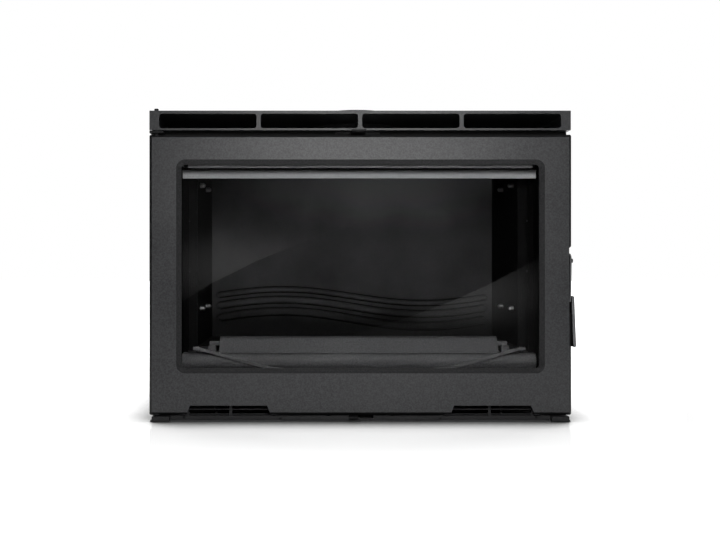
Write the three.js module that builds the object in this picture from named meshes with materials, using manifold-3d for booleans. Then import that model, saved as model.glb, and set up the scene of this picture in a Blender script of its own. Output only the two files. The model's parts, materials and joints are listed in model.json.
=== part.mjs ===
// A wide inset stove for solid fuel: cast door with a glass, vent bar, louvred plinth, steel casing,
// firebox with liners and a ribbed fireback, fire bed, grate, ash pan, baffle and flue collar.
//
// Millimetres, +Z up, +X to the right of someone facing the door. Inside the stove group Y is the
// depth behind the door's front face; the group is shifted so that the part's origin lies under the
// middle of the base plate.
import * as THREE from 'three';
import { mergeVertices } from 'three/addons/utils/BufferGeometryUtils.js';
import Module from 'manifold-3d';

const wasm = await Module();
wasm.setup();

// ---------------------------------------------------------------- driving dimensions

const seatGap = 0.3;            // gap that seated pieces keep
const sheet = 2;                // folded sheet steel

// door casting
const doorWidth = 700;
const doorHeight = 465;
const doorBottom = 11.7;
const doorFaceThickness = 7;
const doorRimDepth = 28;
const doorRimWall = 6;
const doorLowerRimDepth = 12;
const doorLowerRimHeight = 33;
const doorEdgeBevel = 5.5;
const doorEdgeBevelDepth = 9;
const doorCornerRadius = 3;
const doorSideWidth = 53.5;
const doorSillHeight = 77.7;
const doorHeadHeight = 50;
const windowCornerRadius = 6.6;
const windowBevelWidth = 8;
const windowBevelDepth = 6;
const footCutHeight = 16.7;
const footCutInnerTop = 154.4;
const footCutOuterTop = 281.7;
const footCutFlare = 7.2;
const notchAbovePivot = 24.5;
const notchBelowPivot = 89.5;
const notchChamfer = 3.5;

// glass, seals and clamps
const glassThickness = 4;
const glassOverlap = 9.5;
const glassCornerRadius = 4;
const gasketThickness = 1.4;
const gasketWidth = 8;
const ropeDiameter = 10;
const ropeSideMargin = 12;
const ropeEndMargin = 14.5;
const ropeLandWidth = 16;
const ropeGrooveDepth = 4;
const clampWidth = 12.5;
const clampThickness = 1.5;
const clampReveal = 5;
const clampBossSpread = 200;
const clampBossWidth = 16;

// casing
const casingReveal = 1;
const overallDepth = 425;
const doorToFrame = 6;
const frontFrameThickness = 3;
const openingSideMargin = 5.5;
const openingSillMargin = 9.4;
const openingHeadMargin = 14.3;
const openingRadius = 8;
const airSlotPitch = 24;
const airSlotWidth = 7;
const airSlotBottom = 40;
const airSlotTop = 95;

// vent bar
const ventBarOverhang = 1;
const ventBarHeight = 32.6;
const ventBarGap = 8.3;
const ventBarFront = 14;
const ventBarWall = 4;
const ventSlotSill = 3.2;
const ventSlotHead = 5;
const ventSlotRadius = 5;
const ventEndMargin = 16;
const ventRibWidth = 6.6;
const ventSlotCount = 4;

// plinth
const baseThickness = 3;
const baseFront = 9;
const plinthTop = 10.3;
const plinthFront = 10;
const centrePanelHalfWidth = 127.5;
const centrePanelTop = 9.6;
const centrePanelSlant = 5;
const centrePanelFront = 6.5;
const grilleFront = 15.5;
const grilleMargin = 5;
const grilleSlotBottom = 7.9;
const grilleBarHeight = 1.4;
const grilleBarLevels = [11.9, 20];
const grilleRibWidth = 4.5;
const footInset = 5;
const footWidth = 29;
const footBottom = 1.7;
const footTop = 9.9;
const footDepth = 24;
const vNotchCentre = 52.7;
const vNotchWidth = 3;
const supportCentre = 245;
const supportThickness = 4;

// door hinge
const hingeInset = 12;
const hingeDepth = 12;
const hingePinRadius = 4;
const hingePinHeadRadius = 6;
const hingeBossRadius = 8;
const lowerPinEngagement = 20.3;
const upperPinEngagement = 14.7;
const hingeBracketGap = 1.9;
const hingeBracketThickness = 4;

// door handle and latch
const pivotHeight = 267.5;
const pivotDepth = 16;
const spindleRadius = 4;
const pivotScrewRadius = 3.5;
const pivotScrewLength = 4.5;
const armInset = 5.2;
const armThickness = 4.9;
const armTopRadius = 12.2;
const armLength = 68.5;
const armBottomHalfWidth = 8;
const gripLap = 10;
const gripLength = 85;
const gripHalfWidth = 9;
const gripThickness = 5;
const gripLean = 3.2;
const camThickness = 8;
const camHubRadius = 8;
const camReach = 16;
const camHalfHeight = 5;
const keeperHeight = 16;
const keeperReach = 9;

// air sliders
const upperTabLeft = -15.5;
const upperTabRight = 8.5;
const upperTabGap = 2.9;
const upperTabThickness = 3;
const upperTabFront = -12;
const lowerTabLeft = -18.5;
const lowerTabRight = -3.8;
const lowerTabGap = 1.2;
const lowerTabThickness = 2.6;
const lowerTabFront = -6;
const sliderTravel = 25;
const shutterWidth = 110;
const shutterDepth = 34;

// firebox
const fireboxWall = 3;
const fireboxFloor = 33;
const fireboxHeadroom = 25;
const fireboxRearGap = 4;
const linerThickness = 21;
const linerFront = 97;
const linerHeadMargin = 7.3;
const retainerWidth = 8.7;
const retainerDepth = 29;
const capNutHexWidth = 9.5;
const capNutReach = 9.5;
const capNutStudRadius = 3;
const capNutDepths = [131, 220];
const capNutLowerRise = 73;
const capNutUpperDrop = 31;
const firebackFace = 323;
const firebackThickness = 14;
const ribHeight = 4.5;
const ribGroove = 2;
const ribRounding = 2.5;
const ribEndMargin = 9.4;
const ribBands = [
  { level: 153.3, swing: 15, width: 14.2 },
  { level: 177.2, swing: 14.4, width: 12.4 },
  { level: 198.5, swing: 13.75, width: 9.2 },
];
const baffleThickness = 8;
const baffleFront = 120;
const deflectorMargin = 3;
const deflectorDrop = 19.7;
const deflectorDepth = 25;
const deflectorFlange = 18;
const deflectorSheet = 2.5;
const deflectorLip = 13;
const deflectorSlope = 6;

// fire bed, grate and ash pan
const bedFrontGap = 3;
const bedRimTop = 118;
const bedRimBottom = 106;
const bedRimWidth = 9;
const bedWellMargin = 17;
const bedWellWall = 6;
const bedLedge = 5;
const bedFloorMargin = 8;
const throatMargin = 7;
const grateHalfWidth = 105;
const grateFront = 155;
const grateBack = 265;
const grateThickness = 10;
const grateSeat = 85;
const grateSlotCount = 12;
const grateSlotWidth = 8;
const grateRim = 9;
const panMargin = 9;
const panDrop = 13;
const panWall = 1.5;

// sill, ember guard and log guard
const sillFront = 47;
const sillTop = 110;
const sillNoseReach = 8;
const sillNoseHeight = 28;
const sillWall = 8;
const guardHalfWidth = 239;
const guardSetback = 1;
const guardThickness = 10;
const guardHeight = 27.4;
const guardLean = 15;
const bracketInner = 0.5;
const bracketStep = 6.5;
const bracketTaper = 3;
const bracketLowerWidth = 15;
const bracketUpperWidth = 17.5;
const bracketLowerHeight = 12.2;
const bracketHeight = 18.4;
const bracketDepth = 12;
const bracketSetback = 10;
const bracketUpperSetback = 6;
const logBarThickness = 5;
const logBarDepth = 6;
const logBarHalfLength = 281.4;
const logBarEndLength = 8.5;
const logBarEndRise = 8.8;
const logBarKneeX = 150;
const logBarKneeDrop = 25.2;
const logBarFlatLength = 32;
const logBarFlatDrop = 2.8;
const logBarPegWidth = 4.2;
const logBarPegInset = 4.4;
const logBarPegReach = 16;

// flue
const flueRadius = 75;
const flueWall = 4;
const flueFlangeRadius = 92;
const flueFlangeThickness = 5;
const flueCollarRise = 22.7;
const flueDepth = 215;

// ---------------------------------------------------------------- places worked out from the sizes

// door and window
const doorHalfWidth = doorWidth / 2;
const doorTop = doorBottom + doorHeight;
const windowHalfWidth = doorHalfWidth - doorSideWidth;
const windowBottom = doorBottom + doorSillHeight;
const windowTop = doorTop - doorHeadHeight;
const footCutTop = doorBottom + footCutHeight;
const notchBottom = pivotHeight - notchBelowPivot;
const notchTop = pivotHeight + notchAbovePivot;
const glassHalfWidth = windowHalfWidth + glassOverlap;
const glassBottom = windowBottom - glassOverlap;
const glassTop = windowTop + glassOverlap;
const gasketFront = doorFaceThickness + seatGap;
const glassFront = gasketFront + gasketThickness + seatGap;
const glassBack = glassFront + glassThickness;
const clampFront = glassBack + seatGap;

// door rope and the frame that it closes on
const frontFrameDepth = doorRimDepth + doorToFrame;
const frameBack = frontFrameDepth + frontFrameThickness;
const ropeRadius = ropeDiameter / 2;
const ropeHalfWidth = glassHalfWidth + ropeSideMargin;
const ropeBottom = glassBottom - ropeEndMargin;
const ropeTop = glassTop + ropeEndMargin;
const ropeCentreDepth = frontFrameDepth - seatGap - ropeRadius;
const ropeLandBack = ropeCentreDepth - ropeRadius - seatGap + ropeGrooveDepth;
const ropeLandOuter = ropeHalfWidth + ropeLandWidth / 2;

// casing and vent bar
const casingHalfWidth = doorHalfWidth - casingReveal;
const ventBarHalfWidth = doorHalfWidth + ventBarOverhang;
const ventBarBottom = doorTop + ventBarGap;
const ventBarTop = ventBarBottom + ventBarHeight;
const casingTop = ventBarTop - seatGap;
const panelBottom = baseThickness + seatGap;
const panelTop = casingTop - sheet - seatGap;
const frontFrameTop = ventBarBottom - seatGap;
const openingHalfWidth = windowHalfWidth + openingSideMargin;
const openingBottom = windowBottom - openingSillMargin;
const openingTop = windowTop + openingHeadMargin;

// hinge, handle and latch
const hingeX = -(doorHalfWidth - hingeInset);
const lowerPinTop = doorBottom + lowerPinEngagement;
const upperPinBottom = doorTop - upperPinEngagement;
const upperPinTop = ventBarBottom - 2 * seatGap;
const bracketBottom = doorTop + hingeBracketGap;
const bracketTop = bracketBottom + hingeBracketThickness;
const armInner = doorHalfWidth - armInset;
const armOuter = armInner + armThickness;
const armBottom = pivotHeight - armLength;
const gripTop = armBottom + gripLap;
const gripBottom = gripTop - gripLength;
const spindleInner = ropeLandOuter + 2 * seatGap;
const camInner = ropeLandOuter + 1;
const camOuter = camInner + camThickness;

// plinth
const footOuter = doorHalfWidth - footInset;
const footInner = footOuter - footWidth;
const grilleSlotInner = footCutInnerTop - footCutFlare - 1.2;
const grilleSlotOuter = footCutOuterTop + 3.6;
const grilleSlotTop = footCutTop - 1;
const grilleRibCentre = (grilleSlotInner + grilleSlotOuter) / 2;

// air sliders
const upperTabBottom = doorTop + upperTabGap;
const lowerTabBottom = doorBottom - lowerTabGap - lowerTabThickness;
const lowerSlotLeft = lowerTabLeft - 0.5;
const lowerSlotRight = lowerTabRight + sliderTravel + 0.5;
const lowerShutterFront = grilleFront + 14.5;
const lowerShutterBack = lowerShutterFront + shutterDepth;

// firebox and lining
const fireboxFront = frameBack + seatGap;
const fireboxHalfWidth = openingHalfWidth;
const fireboxOuter = fireboxHalfWidth + fireboxWall;
const fireboxBack = firebackFace + firebackThickness + fireboxRearGap;
const fireboxRearBack = fireboxBack + seatGap + fireboxWall;
const fireboxFloorTop = fireboxFloor + fireboxWall;
const fireboxRoof = openingTop + fireboxHeadroom;
const roofTop = fireboxRoof + fireboxWall;
const wallBottom = fireboxFloorTop + seatGap;
const wallTop = fireboxRoof - seatGap;
const ductFront = fireboxFront;
const ductBack = ductFront + shutterDepth + 8;
const linerOuter = fireboxHalfWidth - seatGap;
const linerInner = linerOuter - linerThickness;
const linerTop = windowTop + linerHeadMargin;
const liningHalfWidth = linerInner - seatGap;
const capNutHeights = [sillTop + capNutLowerRise, linerTop - capNutUpperDrop];
const retainerFront = linerFront - retainerDepth;
const ribHalfSpan = liningHalfWidth - ribEndMargin;
const ribWavelength = 2 * (ribHalfSpan + ribEndMargin) + 1.2;
const baffleBottom = linerTop + seatGap;
const deflectorBottom = windowTop - deflectorDrop;

// fire bed
const bedFront = linerFront + bedFrontGap;
const bedBack = firebackFace - ribHeight - 1;
const bedWellHalfWidth = grateHalfWidth + bedWellMargin;
const bedWellFront = grateFront - bedWellMargin + 2;
const bedWellBack = grateBack + bedWellMargin - 2;
const bedWellTop = grateSeat - bedLedge;
const bedSlopeFoot = grateSeat + grateThickness - 1;
const panHalfWidth = grateHalfWidth - panMargin;
const panTop = grateSeat - panDrop;

// sill and guards
const noseDepth = sillFront + sillNoseReach;
const noseMiddle = sillTop - sillNoseHeight / 2;
const seatOnSill = sillTop + seatGap;
const guardFront = noseDepth + guardSetback;
const guardTop = sillTop + guardHeight;
const flueCollarTop = casingTop + flueCollarRise;

// ---------------------------------------------------------------- materials

function paint(color, roughness, metalness) {
  return new THREE.MeshStandardMaterial({ color, roughness, metalness });
}

const castIron = paint(0x3c3d40, 0.62, 0.5);
const castDark = paint(0x232427, 0.7, 0.45);
const sheetBlack = paint(0x1c1d1f, 0.55, 0.5);
const liner = paint(0x2a2a2b, 0.85, 0.2);
const steel = paint(0x8d8f92, 0.35, 0.85);
const brightSteel = paint(0xb9bbbe, 0.25, 0.9);
const ropeGrey = paint(0x55544f, 0.95, 0);
const ceramicGlass = new THREE.MeshStandardMaterial({
  color: 0x1b1c1e, roughness: 0.05, metalness: 0, transparent: true, opacity: 0.35,
});

// ---------------------------------------------------------------- geometry helpers

// Outline of a rectangle with round corners, drawn on a shape or on a hole path.
function roundRect(path, x0, y0, x1, y1, radius) {
  path.moveTo(x0 + radius, y0);
  path.lineTo(x1 - radius, y0);
  path.absarc(x1 - radius, y0 + radius, radius, -Math.PI / 2, 0, false);
  path.lineTo(x1, y1 - radius);
  path.absarc(x1 - radius, y1 - radius, radius, 0, Math.PI / 2, false);
  path.lineTo(x0 + radius, y1);
  path.absarc(x0 + radius, y1 - radius, radius, Math.PI / 2, Math.PI, false);
  path.lineTo(x0, y0 + radius);
  path.absarc(x0 + radius, y0 + radius, radius, Math.PI, Math.PI * 1.5, false);
  return path;
}

const roundRectShape = (x0, y0, x1, y1, radius) => roundRect(new THREE.Shape(), x0, y0, x1, y1, radius);

// Closed outline through a short list of points.
const outline = (points) => new THREE.Shape(points.map(([x, y]) => new THREE.Vector2(x, y)));

// Prism of a shape drawn in X and Z, from depth y0 to y1.
function alongY(shape, y0, y1, curveSegments = 5) {
  const geometry = new THREE.ExtrudeGeometry(shape, { depth: y1 - y0, bevelEnabled: false, curveSegments });
  return geometry.rotateX(Math.PI / 2).translate(0, y1, 0);
}

// Prism of a shape drawn in Y and Z, from x0 to x1.
function alongX(shape, x0, x1, curveSegments = 6) {
  const geometry = new THREE.ExtrudeGeometry(shape, { depth: x1 - x0, bevelEnabled: false, curveSegments });
  const turn = new THREE.Matrix4().makeBasis(
    new THREE.Vector3(0, 1, 0),
    new THREE.Vector3(0, 0, 1),
    new THREE.Vector3(1, 0, 0),
  );
  return geometry.applyMatrix4(turn).translate(x0, 0, 0);
}

// Prism of a shape drawn in X and Y, from z0 to z1.
function alongZ(shape, z0, z1, curveSegments = 6) {
  const geometry = new THREE.ExtrudeGeometry(shape, { depth: z1 - z0, bevelEnabled: false, curveSegments });
  return geometry.translate(0, 0, z0);
}

function block(x0, x1, y0, y1, z0, z1) {
  const geometry = new THREE.BoxGeometry(x1 - x0, y1 - y0, z1 - z0);
  return geometry.translate((x0 + x1) / 2, (y0 + y1) / 2, (z0 + z1) / 2);
}

// Block whose sides slope from one rectangle at z0 to another at z1.
function hopper(low, high, z0, z1) {
  const geometry = new THREE.BoxGeometry(1, 1, 1);
  const position = geometry.attributes.position;
  for (let i = 0; i < position.count; i += 1) {
    const rect = position.getZ(i) < 0 ? low : high;
    const x = position.getX(i) < 0 ? -rect.halfWidth : rect.halfWidth;
    const y = position.getY(i) < 0 ? rect.front : rect.back;
    position.setXYZ(i, x, y, position.getZ(i) < 0 ? z0 : z1);
  }
  return geometry;
}

// Round bar along Z, or along X, between two ends.
function rodZ(x, y, radius, z0, z1, sides = 24) {
  const geometry = new THREE.CylinderGeometry(radius, radius, z1 - z0, sides);
  return geometry.rotateX(Math.PI / 2).translate(x, y, (z0 + z1) / 2);
}

function rodX(y, z, radius, x0, x1, sides = 24) {
  const geometry = new THREE.CylinderGeometry(radius, radius, x1 - x0, sides);
  return geometry.rotateZ(-Math.PI / 2).translate((x0 + x1) / 2, y, z);
}

function toSolid(geometry) {
  const bare = new THREE.BufferGeometry();
  bare.setAttribute('position', geometry.attributes.position);
  bare.setIndex(geometry.index);
  const merged = mergeVertices(bare, 1e-4);
  return new wasm.Manifold(new wasm.Mesh({
    numProp: 3,
    vertProperties: merged.attributes.position.array,
    triVerts: Uint32Array.from(merged.index.array),
  }));
}

function toGeometry(solid) {
  const mesh = solid.getMesh();
  const geometry = new THREE.BufferGeometry();
  geometry.setAttribute('position', new THREE.BufferAttribute(mesh.vertProperties, 3));
  geometry.setIndex(new THREE.BufferAttribute(mesh.triVerts, 1));
  geometry.computeVertexNormals();
  return geometry;
}

function join(first, ...rest) {
  return toGeometry(rest.reduce((sum, next) => sum.add(toSolid(next)), toSolid(first)));
}

function cut(body, ...tools) {
  return toGeometry(tools.reduce((left, tool) => left.subtract(toSolid(tool)), toSolid(body)));
}

function mirrored(geometry) {
  const copy = geometry.clone().scale(-1, 1, 1);
  const bare = copy.index ? copy.toNonIndexed() : copy;
  const position = bare.attributes.position;
  for (let i = 0; i < position.count; i += 3) {
    const second = new THREE.Vector3().fromBufferAttribute(position, i + 1);
    const third = new THREE.Vector3().fromBufferAttribute(position, i + 2);
    position.setXYZ(i + 1, third.x, third.y, third.z);
    position.setXYZ(i + 2, second.x, second.y, second.z);
  }
  bare.computeVertexNormals();
  return bare;
}

const stove = new THREE.Group();

function add(name, geometry, material) {
  const mesh = new THREE.Mesh(geometry, material);
  mesh.name = name;
  stove.add(mesh);
  return mesh;
}

// Adds a piece on the right and its mirror image on the left.
function addPair(name, geometry, material) {
  add(`${name}_right`, geometry, material);
  add(`${name}_left`, mirrored(geometry), material);
}

// ---------------------------------------------------------------- door

// Prism along Y that widens by `flare` over `flareDepth` from each end to its middle.
function flaredAlongY(shape, y0, y1, flare, flareDepth, curveSegments = 5) {
  const geometry = new THREE.ExtrudeGeometry(shape, {
    depth: y1 - y0 - 2 * flareDepth,
    bevelThickness: flareDepth,
    bevelSize: flare,
    bevelSegments: 1,
    curveSegments,
  });
  return geometry.rotateX(Math.PI / 2).translate(0, y1 - flareDepth, 0);
}

// Frame of constant width along Y, between two rectangles.
function ring(halfWidth, z0, z1, width, y0, y1, radius) {
  const outer = alongY(roundRectShape(-halfWidth, z0, halfWidth, z1, radius), y0, y1);
  const innerHalf = halfWidth - width;
  const inner = roundRectShape(-innerHalf, z0 + width, innerHalf, z1 - width, Math.max(radius - width, 1));
  return cut(outer, alongY(inner, y0 - 1, y1 + 1));
}

// Trapezoid over each plinth grille, on the side given by +1 or -1, grown by a margin.
function footCutShape(side, margin) {
  const flare = footCutFlare + margin;
  const points = [
    [footCutInnerTop - flare - margin, doorBottom - 1],
    [footCutOuterTop + flare + margin, doorBottom - 1],
    [footCutOuterTop + margin, footCutTop + margin],
    [footCutInnerTop - margin, footCutTop + margin],
  ];
  const placed = points.map(([x, z]) => [side * x, z]);
  return outline(side > 0 ? placed : placed.reverse());
}

// Face plate with its sloped border, hollow behind the plate up to the rim wall.
function doorFace() {
  const inset = doorHalfWidth - doorEdgeBevel;
  const face = roundRectShape(-inset, doorBottom + doorEdgeBevel, inset, doorTop - doorEdgeBevel, 0.6);
  const depth = 2 * doorEdgeBevelDepth + 1;
  const plate = flaredAlongY(face, 0, depth, doorEdgeBevel, doorEdgeBevelDepth, 2);
  const reach = doorHalfWidth + 1;
  const innerReach = doorHalfWidth - doorRimWall;
  return cut(
    plate,
    block(-reach, reach, doorEdgeBevelDepth + 0.5, depth + 1, doorBottom - 1, doorTop + 1),
    block(-innerReach, innerReach, doorFaceThickness, depth + 1,
      doorBottom + doorRimWall, doorTop - doorRimWall),
  );
}

function doorRim() {
  const rim = ring(doorHalfWidth, doorBottom, doorTop, doorRimWall,
    doorEdgeBevelDepth, doorRimDepth, doorCornerRadius);
  const reach = doorHalfWidth + 1;
  const lowerZone = block(-reach, reach, doorLowerRimDepth, doorRimDepth + 1,
    doorBottom - 1, doorBottom + doorLowerRimHeight);
  return cut(rim, lowerZone);
}

function ropeLand() {
  const margin = ropeLandWidth / 2;
  const halfWidth = ropeHalfWidth + margin;
  return ring(halfWidth, ropeBottom - margin, ropeTop + margin, ropeLandWidth,
    doorFaceThickness - 1, ropeLandBack, margin);
}

function ropeGroove() {
  const margin = ropeRadius + seatGap;
  return ring(ropeHalfWidth + margin, ropeBottom - margin, ropeTop + margin, 2 * margin,
    ropeLandBack - ropeGrooveDepth, ropeLandBack + 1, margin);
}

function notchShape() {
  const wall = armInner - 0.4;
  return outline([
    [wall, notchBottom + notchChamfer],
    [doorHalfWidth + 1, notchBottom],
    [doorHalfWidth + 1, notchTop],
    [wall, notchTop - notchChamfer],
  ]);
}

function clampBosses() {
  const front = doorFaceThickness - 1;
  const landInner = ropeLandWidth / 2 - 1;
  const bosses = [];
  for (const centre of [-clampBossSpread, 0, clampBossSpread]) {
    const x0 = centre - clampBossWidth / 2;
    const x1 = centre + clampBossWidth / 2;
    bosses.push(block(x0, x1, front, glassBack, glassTop + seatGap, ropeTop - landInner));
    bosses.push(block(x0, x1, front, glassBack, ropeBottom + landInner, glassBottom - seatGap));
  }
  return bosses;
}

function doorCasting() {
  const bodies = [doorRim(), ropeLand(), ...clampBosses()];
  for (const side of [-1, 1]) {
    bodies.push(alongY(footCutShape(side, doorRimWall - 1), doorFaceThickness - 1, doorLowerRimDepth));
  }
  bodies.push(block(armInner - 7, armInner, doorFaceThickness - 1, doorRimDepth,
    notchBottom - 6, notchTop + 6));
  bodies.push(rodZ(hingeX, hingeDepth, hingeBossRadius, doorBottom, lowerPinTop + 8));
  bodies.push(rodZ(hingeX, hingeDepth, hingeBossRadius, upperPinBottom - 4, doorTop - 1));
  const window = roundRectShape(-windowHalfWidth, windowBottom, windowHalfWidth, windowTop,
    windowCornerRadius);
  const boreRadius = hingePinRadius + seatGap;
  const tools = [
    flaredAlongY(window, -windowBevelDepth - 1, windowBevelDepth, windowBevelWidth, windowBevelDepth),
    alongY(window, -1, doorFaceThickness + 1),
    ropeGroove(),
    alongY(notchShape(), -1, doorRimDepth + 1),
    rodX(pivotDepth, pivotHeight, spindleRadius + seatGap, armInner - 9, armInner + 2),
    rodZ(hingeX, hingeDepth, boreRadius, doorBottom - 1, lowerPinTop + seatGap),
    rodZ(hingeX, hingeDepth, boreRadius, upperPinBottom - seatGap, doorTop + 1),
    block(-doorWidth, doorWidth, -1, doorRimDepth, 0, doorBottom),
  ];
  for (const side of [-1, 1]) {
    tools.push(alongY(footCutShape(side, 0), -1, doorRimDepth + 1));
  }
  return cut(join(doorFace(), ...bodies), ...tools);
}

function doorRope() {
  const sides = 12;
  const rods = [];
  for (const side of [-1, 1]) {
    rods.push(rodZ(side * ropeHalfWidth, ropeCentreDepth, ropeRadius, ropeBottom, ropeTop, sides));
  }
  for (const height of [ropeBottom, ropeTop]) {
    rods.push(rodX(ropeCentreDepth, height, ropeRadius, -ropeHalfWidth, ropeHalfWidth, sides));
    for (const side of [-1, 1]) {
      const corner = new THREE.SphereGeometry(ropeRadius, sides, 8);
      rods.push(corner.translate(side * ropeHalfWidth, ropeCentreDepth, height));
    }
  }
  return join(...rods);
}

function buildDoor() {
  add('door_frame', doorCasting(), castIron);
  const glass = roundRectShape(-glassHalfWidth, glassBottom, glassHalfWidth, glassTop, glassCornerRadius);
  add('door_glass', alongY(glass, glassFront, glassBack), ceramicGlass);
  const gasketHalf = windowHalfWidth + 1 + gasketWidth;
  add('glass_gasket', ring(gasketHalf, windowBottom - 1 - gasketWidth, windowTop + 1 + gasketWidth,
    gasketWidth, gasketFront, gasketFront + gasketThickness, 12), ropeGrey);
  add('door_rope', doorRope(), ropeGrey);
  const clampReach = glassHalfWidth - 20;
  const clampBack = clampFront + clampThickness;
  const landInner = ropeLandWidth / 2 + seatGap;
  const topEdge = ropeTop - landInner;
  const bottomEdge = ropeBottom + landInner;
  add('glass_clamp_top', block(-clampReach, clampReach, clampFront, clampBack,
    windowTop - clampReveal, topEdge), steel);
  add('glass_clamp_bottom', block(-clampReach, clampReach, clampFront, clampBack,
    bottomEdge, bottomEdge + clampWidth), steel);
}

// ---------------------------------------------------------------- handle and latch

function armShape() {
  const shape = new THREE.Shape();
  shape.moveTo(pivotDepth - armBottomHalfWidth, armBottom);
  shape.lineTo(pivotDepth + armBottomHalfWidth, armBottom);
  shape.lineTo(pivotDepth + armTopRadius, pivotHeight);
  shape.absarc(pivotDepth, pivotHeight, armTopRadius, 0, Math.PI, false);
  shape.lineTo(pivotDepth - armBottomHalfWidth, armBottom);
  return shape;
}

// Flat grip outside the arm, leaning outwards towards its lower end.
function gripShape() {
  const top = armOuter + seatGap;
  const foot = top + gripLean;
  return outline([
    [foot + 1, gripBottom],
    [foot + gripThickness - 1, gripBottom],
    [foot + gripThickness, gripBottom + 2],
    [top + gripThickness, gripTop - 2],
    [top + gripThickness - 1.5, gripTop],
    [top, gripTop],
    [foot, gripBottom + 2],
  ]);
}

function latchCam() {
  const tongue = block(camInner, camOuter, pivotDepth, pivotDepth + camReach,
    pivotHeight - camHalfHeight, pivotHeight + camHalfHeight);
  const hub = rodX(pivotDepth, pivotHeight, camHubRadius, camInner, camOuter);
  const bore = rodX(pivotDepth, pivotHeight, spindleRadius + seatGap, camInner - 1, camOuter + 1);
  return cut(join(hub, tongue), bore);
}

// Hook block over the tongue, with a sloped lead-in underneath at its front.
function keeperShape() {
  const bottom = pivotHeight + camHalfHeight + seatGap;
  const back = frontFrameDepth - seatGap;
  const front = back - keeperReach;
  return outline([
    [front, bottom + 3],
    [front + 4, bottom],
    [back, bottom],
    [back, bottom + keeperHeight],
    [front + 3, bottom + keeperHeight],
    [front, bottom + keeperHeight - 3],
  ]);
}

function buildHandle() {
  const arm = alongX(armShape(), armInner, armOuter, 12);
  const bore = rodX(pivotDepth, pivotHeight, spindleRadius + seatGap, armInner - 1, armOuter + 1);
  add('handle_arm', cut(arm, bore), castDark);
  const grip = alongY(gripShape(), pivotDepth - gripHalfWidth, pivotDepth + gripHalfWidth);
  add('handle_grip', grip, brightSteel);
  const shaft = rodX(pivotDepth, pivotHeight, spindleRadius, spindleInner, armOuter);
  const screw = rodX(pivotDepth, pivotHeight, pivotScrewRadius,
    armOuter - 1, armOuter + pivotScrewLength, 16);
  add('handle_spindle', join(shaft, screw), steel);
  add('latch_cam', latchCam(), steel);
  add('latch_keeper', alongX(keeperShape(), camInner, camOuter), steel);
}

// ---------------------------------------------------------------- hinge

function buildHinge() {
  const boreRadius = hingePinRadius + seatGap;
  const bracket = block(-casingHalfWidth, hingeX + 12, hingeDepth - 9, frontFrameDepth - seatGap,
    bracketBottom, bracketTop);
  const bore = rodZ(hingeX, hingeDepth, boreRadius, bracketBottom - 1, bracketTop + 1);
  add('upper_hinge_bracket', cut(bracket, bore), castDark);
  const pin = rodZ(hingeX, hingeDepth, hingePinRadius, upperPinBottom, upperPinTop);
  const head = rodZ(hingeX, hingeDepth, hingePinHeadRadius, bracketTop + seatGap, upperPinTop);
  add('upper_hinge_pin', join(pin, head), steel);
  add('lower_hinge_pin', rodZ(hingeX, hingeDepth, hingePinRadius, panelBottom, lowerPinTop), steel);
}

// ---------------------------------------------------------------- base and plinth

function basePlate() {
  const plate = block(-casingHalfWidth, casingHalfWidth, baseFront, overallDepth, 0, baseThickness);
  const railTop = lowerTabBottom - seatGap;
  const railReach = shutterWidth / 2 + sliderTravel + 4;
  const rails = [lowerShutterFront + 2, lowerShutterBack - 5].map(
    (front) => block(-railReach, railReach, front, front + 3, baseThickness - 1, railTop),
  );
  const supports = [-1, 1].map((side) => {
    const x = side * supportCentre;
    return block(x - supportThickness / 2, x + supportThickness / 2, fireboxFront + 25, fireboxBack - 20,
      baseThickness - 1, fireboxFloor - seatGap);
  });
  const port = block(-shutterWidth / 2 + 12, shutterWidth / 2 - 12, lowerShutterFront + 7,
    lowerShutterBack - 7, -1, baseThickness + 1);
  return cut(join(plate, ...rails, ...supports), port);
}

function footProfile() {
  return outline([
    [0.5, footBottom],
    [baseFront - seatGap, footBottom],
    [baseFront - seatGap, panelBottom],
    [footDepth, panelBottom],
    [footDepth, footTop],
    [1.5, footTop],
    [0.5, footTop - 1],
  ]);
}

function grille() {
  const shape = roundRectShape(grilleSlotInner - grilleMargin, panelBottom, grilleSlotOuter + grilleMargin,
    footCutTop + sheet, 1);
  const edges = [grilleSlotBottom];
  for (const level of grilleBarLevels) {
    edges.push(level - grilleBarHeight / 2, level + grilleBarHeight / 2);
  }
  edges.push(grilleSlotTop);
  const ribHalf = grilleRibWidth / 2;
  const columns = [
    [grilleSlotInner, grilleRibCentre - ribHalf],
    [grilleRibCentre + ribHalf, grilleSlotOuter],
  ];
  for (let row = 0; row < edges.length; row += 2) {
    for (const [x0, x1] of columns) {
      shape.holes.push(roundRect(new THREE.Path(), x0, edges[row], x1, edges[row + 1], 0.6));
    }
  }
  return alongY(shape, grilleFront, grilleFront + sheet, 1);
}

function plinthBar() {
  const reach = footInner - seatGap;
  const notches = [];
  for (const side of [-1, 1]) {
    const x = side * vNotchCentre;
    const notch = [
      [x, plinthTop - vNotchWidth],
      [x + vNotchWidth, plinthTop + 0.1],
      [x - vNotchWidth, plinthTop + 0.1],
    ];
    notches.push(alongY(outline(notch), plinthFront - 1, plinthFront + sheet + 1));
  }
  const slot = block(lowerSlotLeft, lowerSlotRight, plinthFront - 1, plinthFront + sheet + 1,
    lowerTabBottom - 1.5, plinthTop + 1);
  const panel = block(-reach, reach, plinthFront, plinthFront + sheet, panelBottom, plinthTop);
  return cut(panel, slot, ...notches);
}

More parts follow.
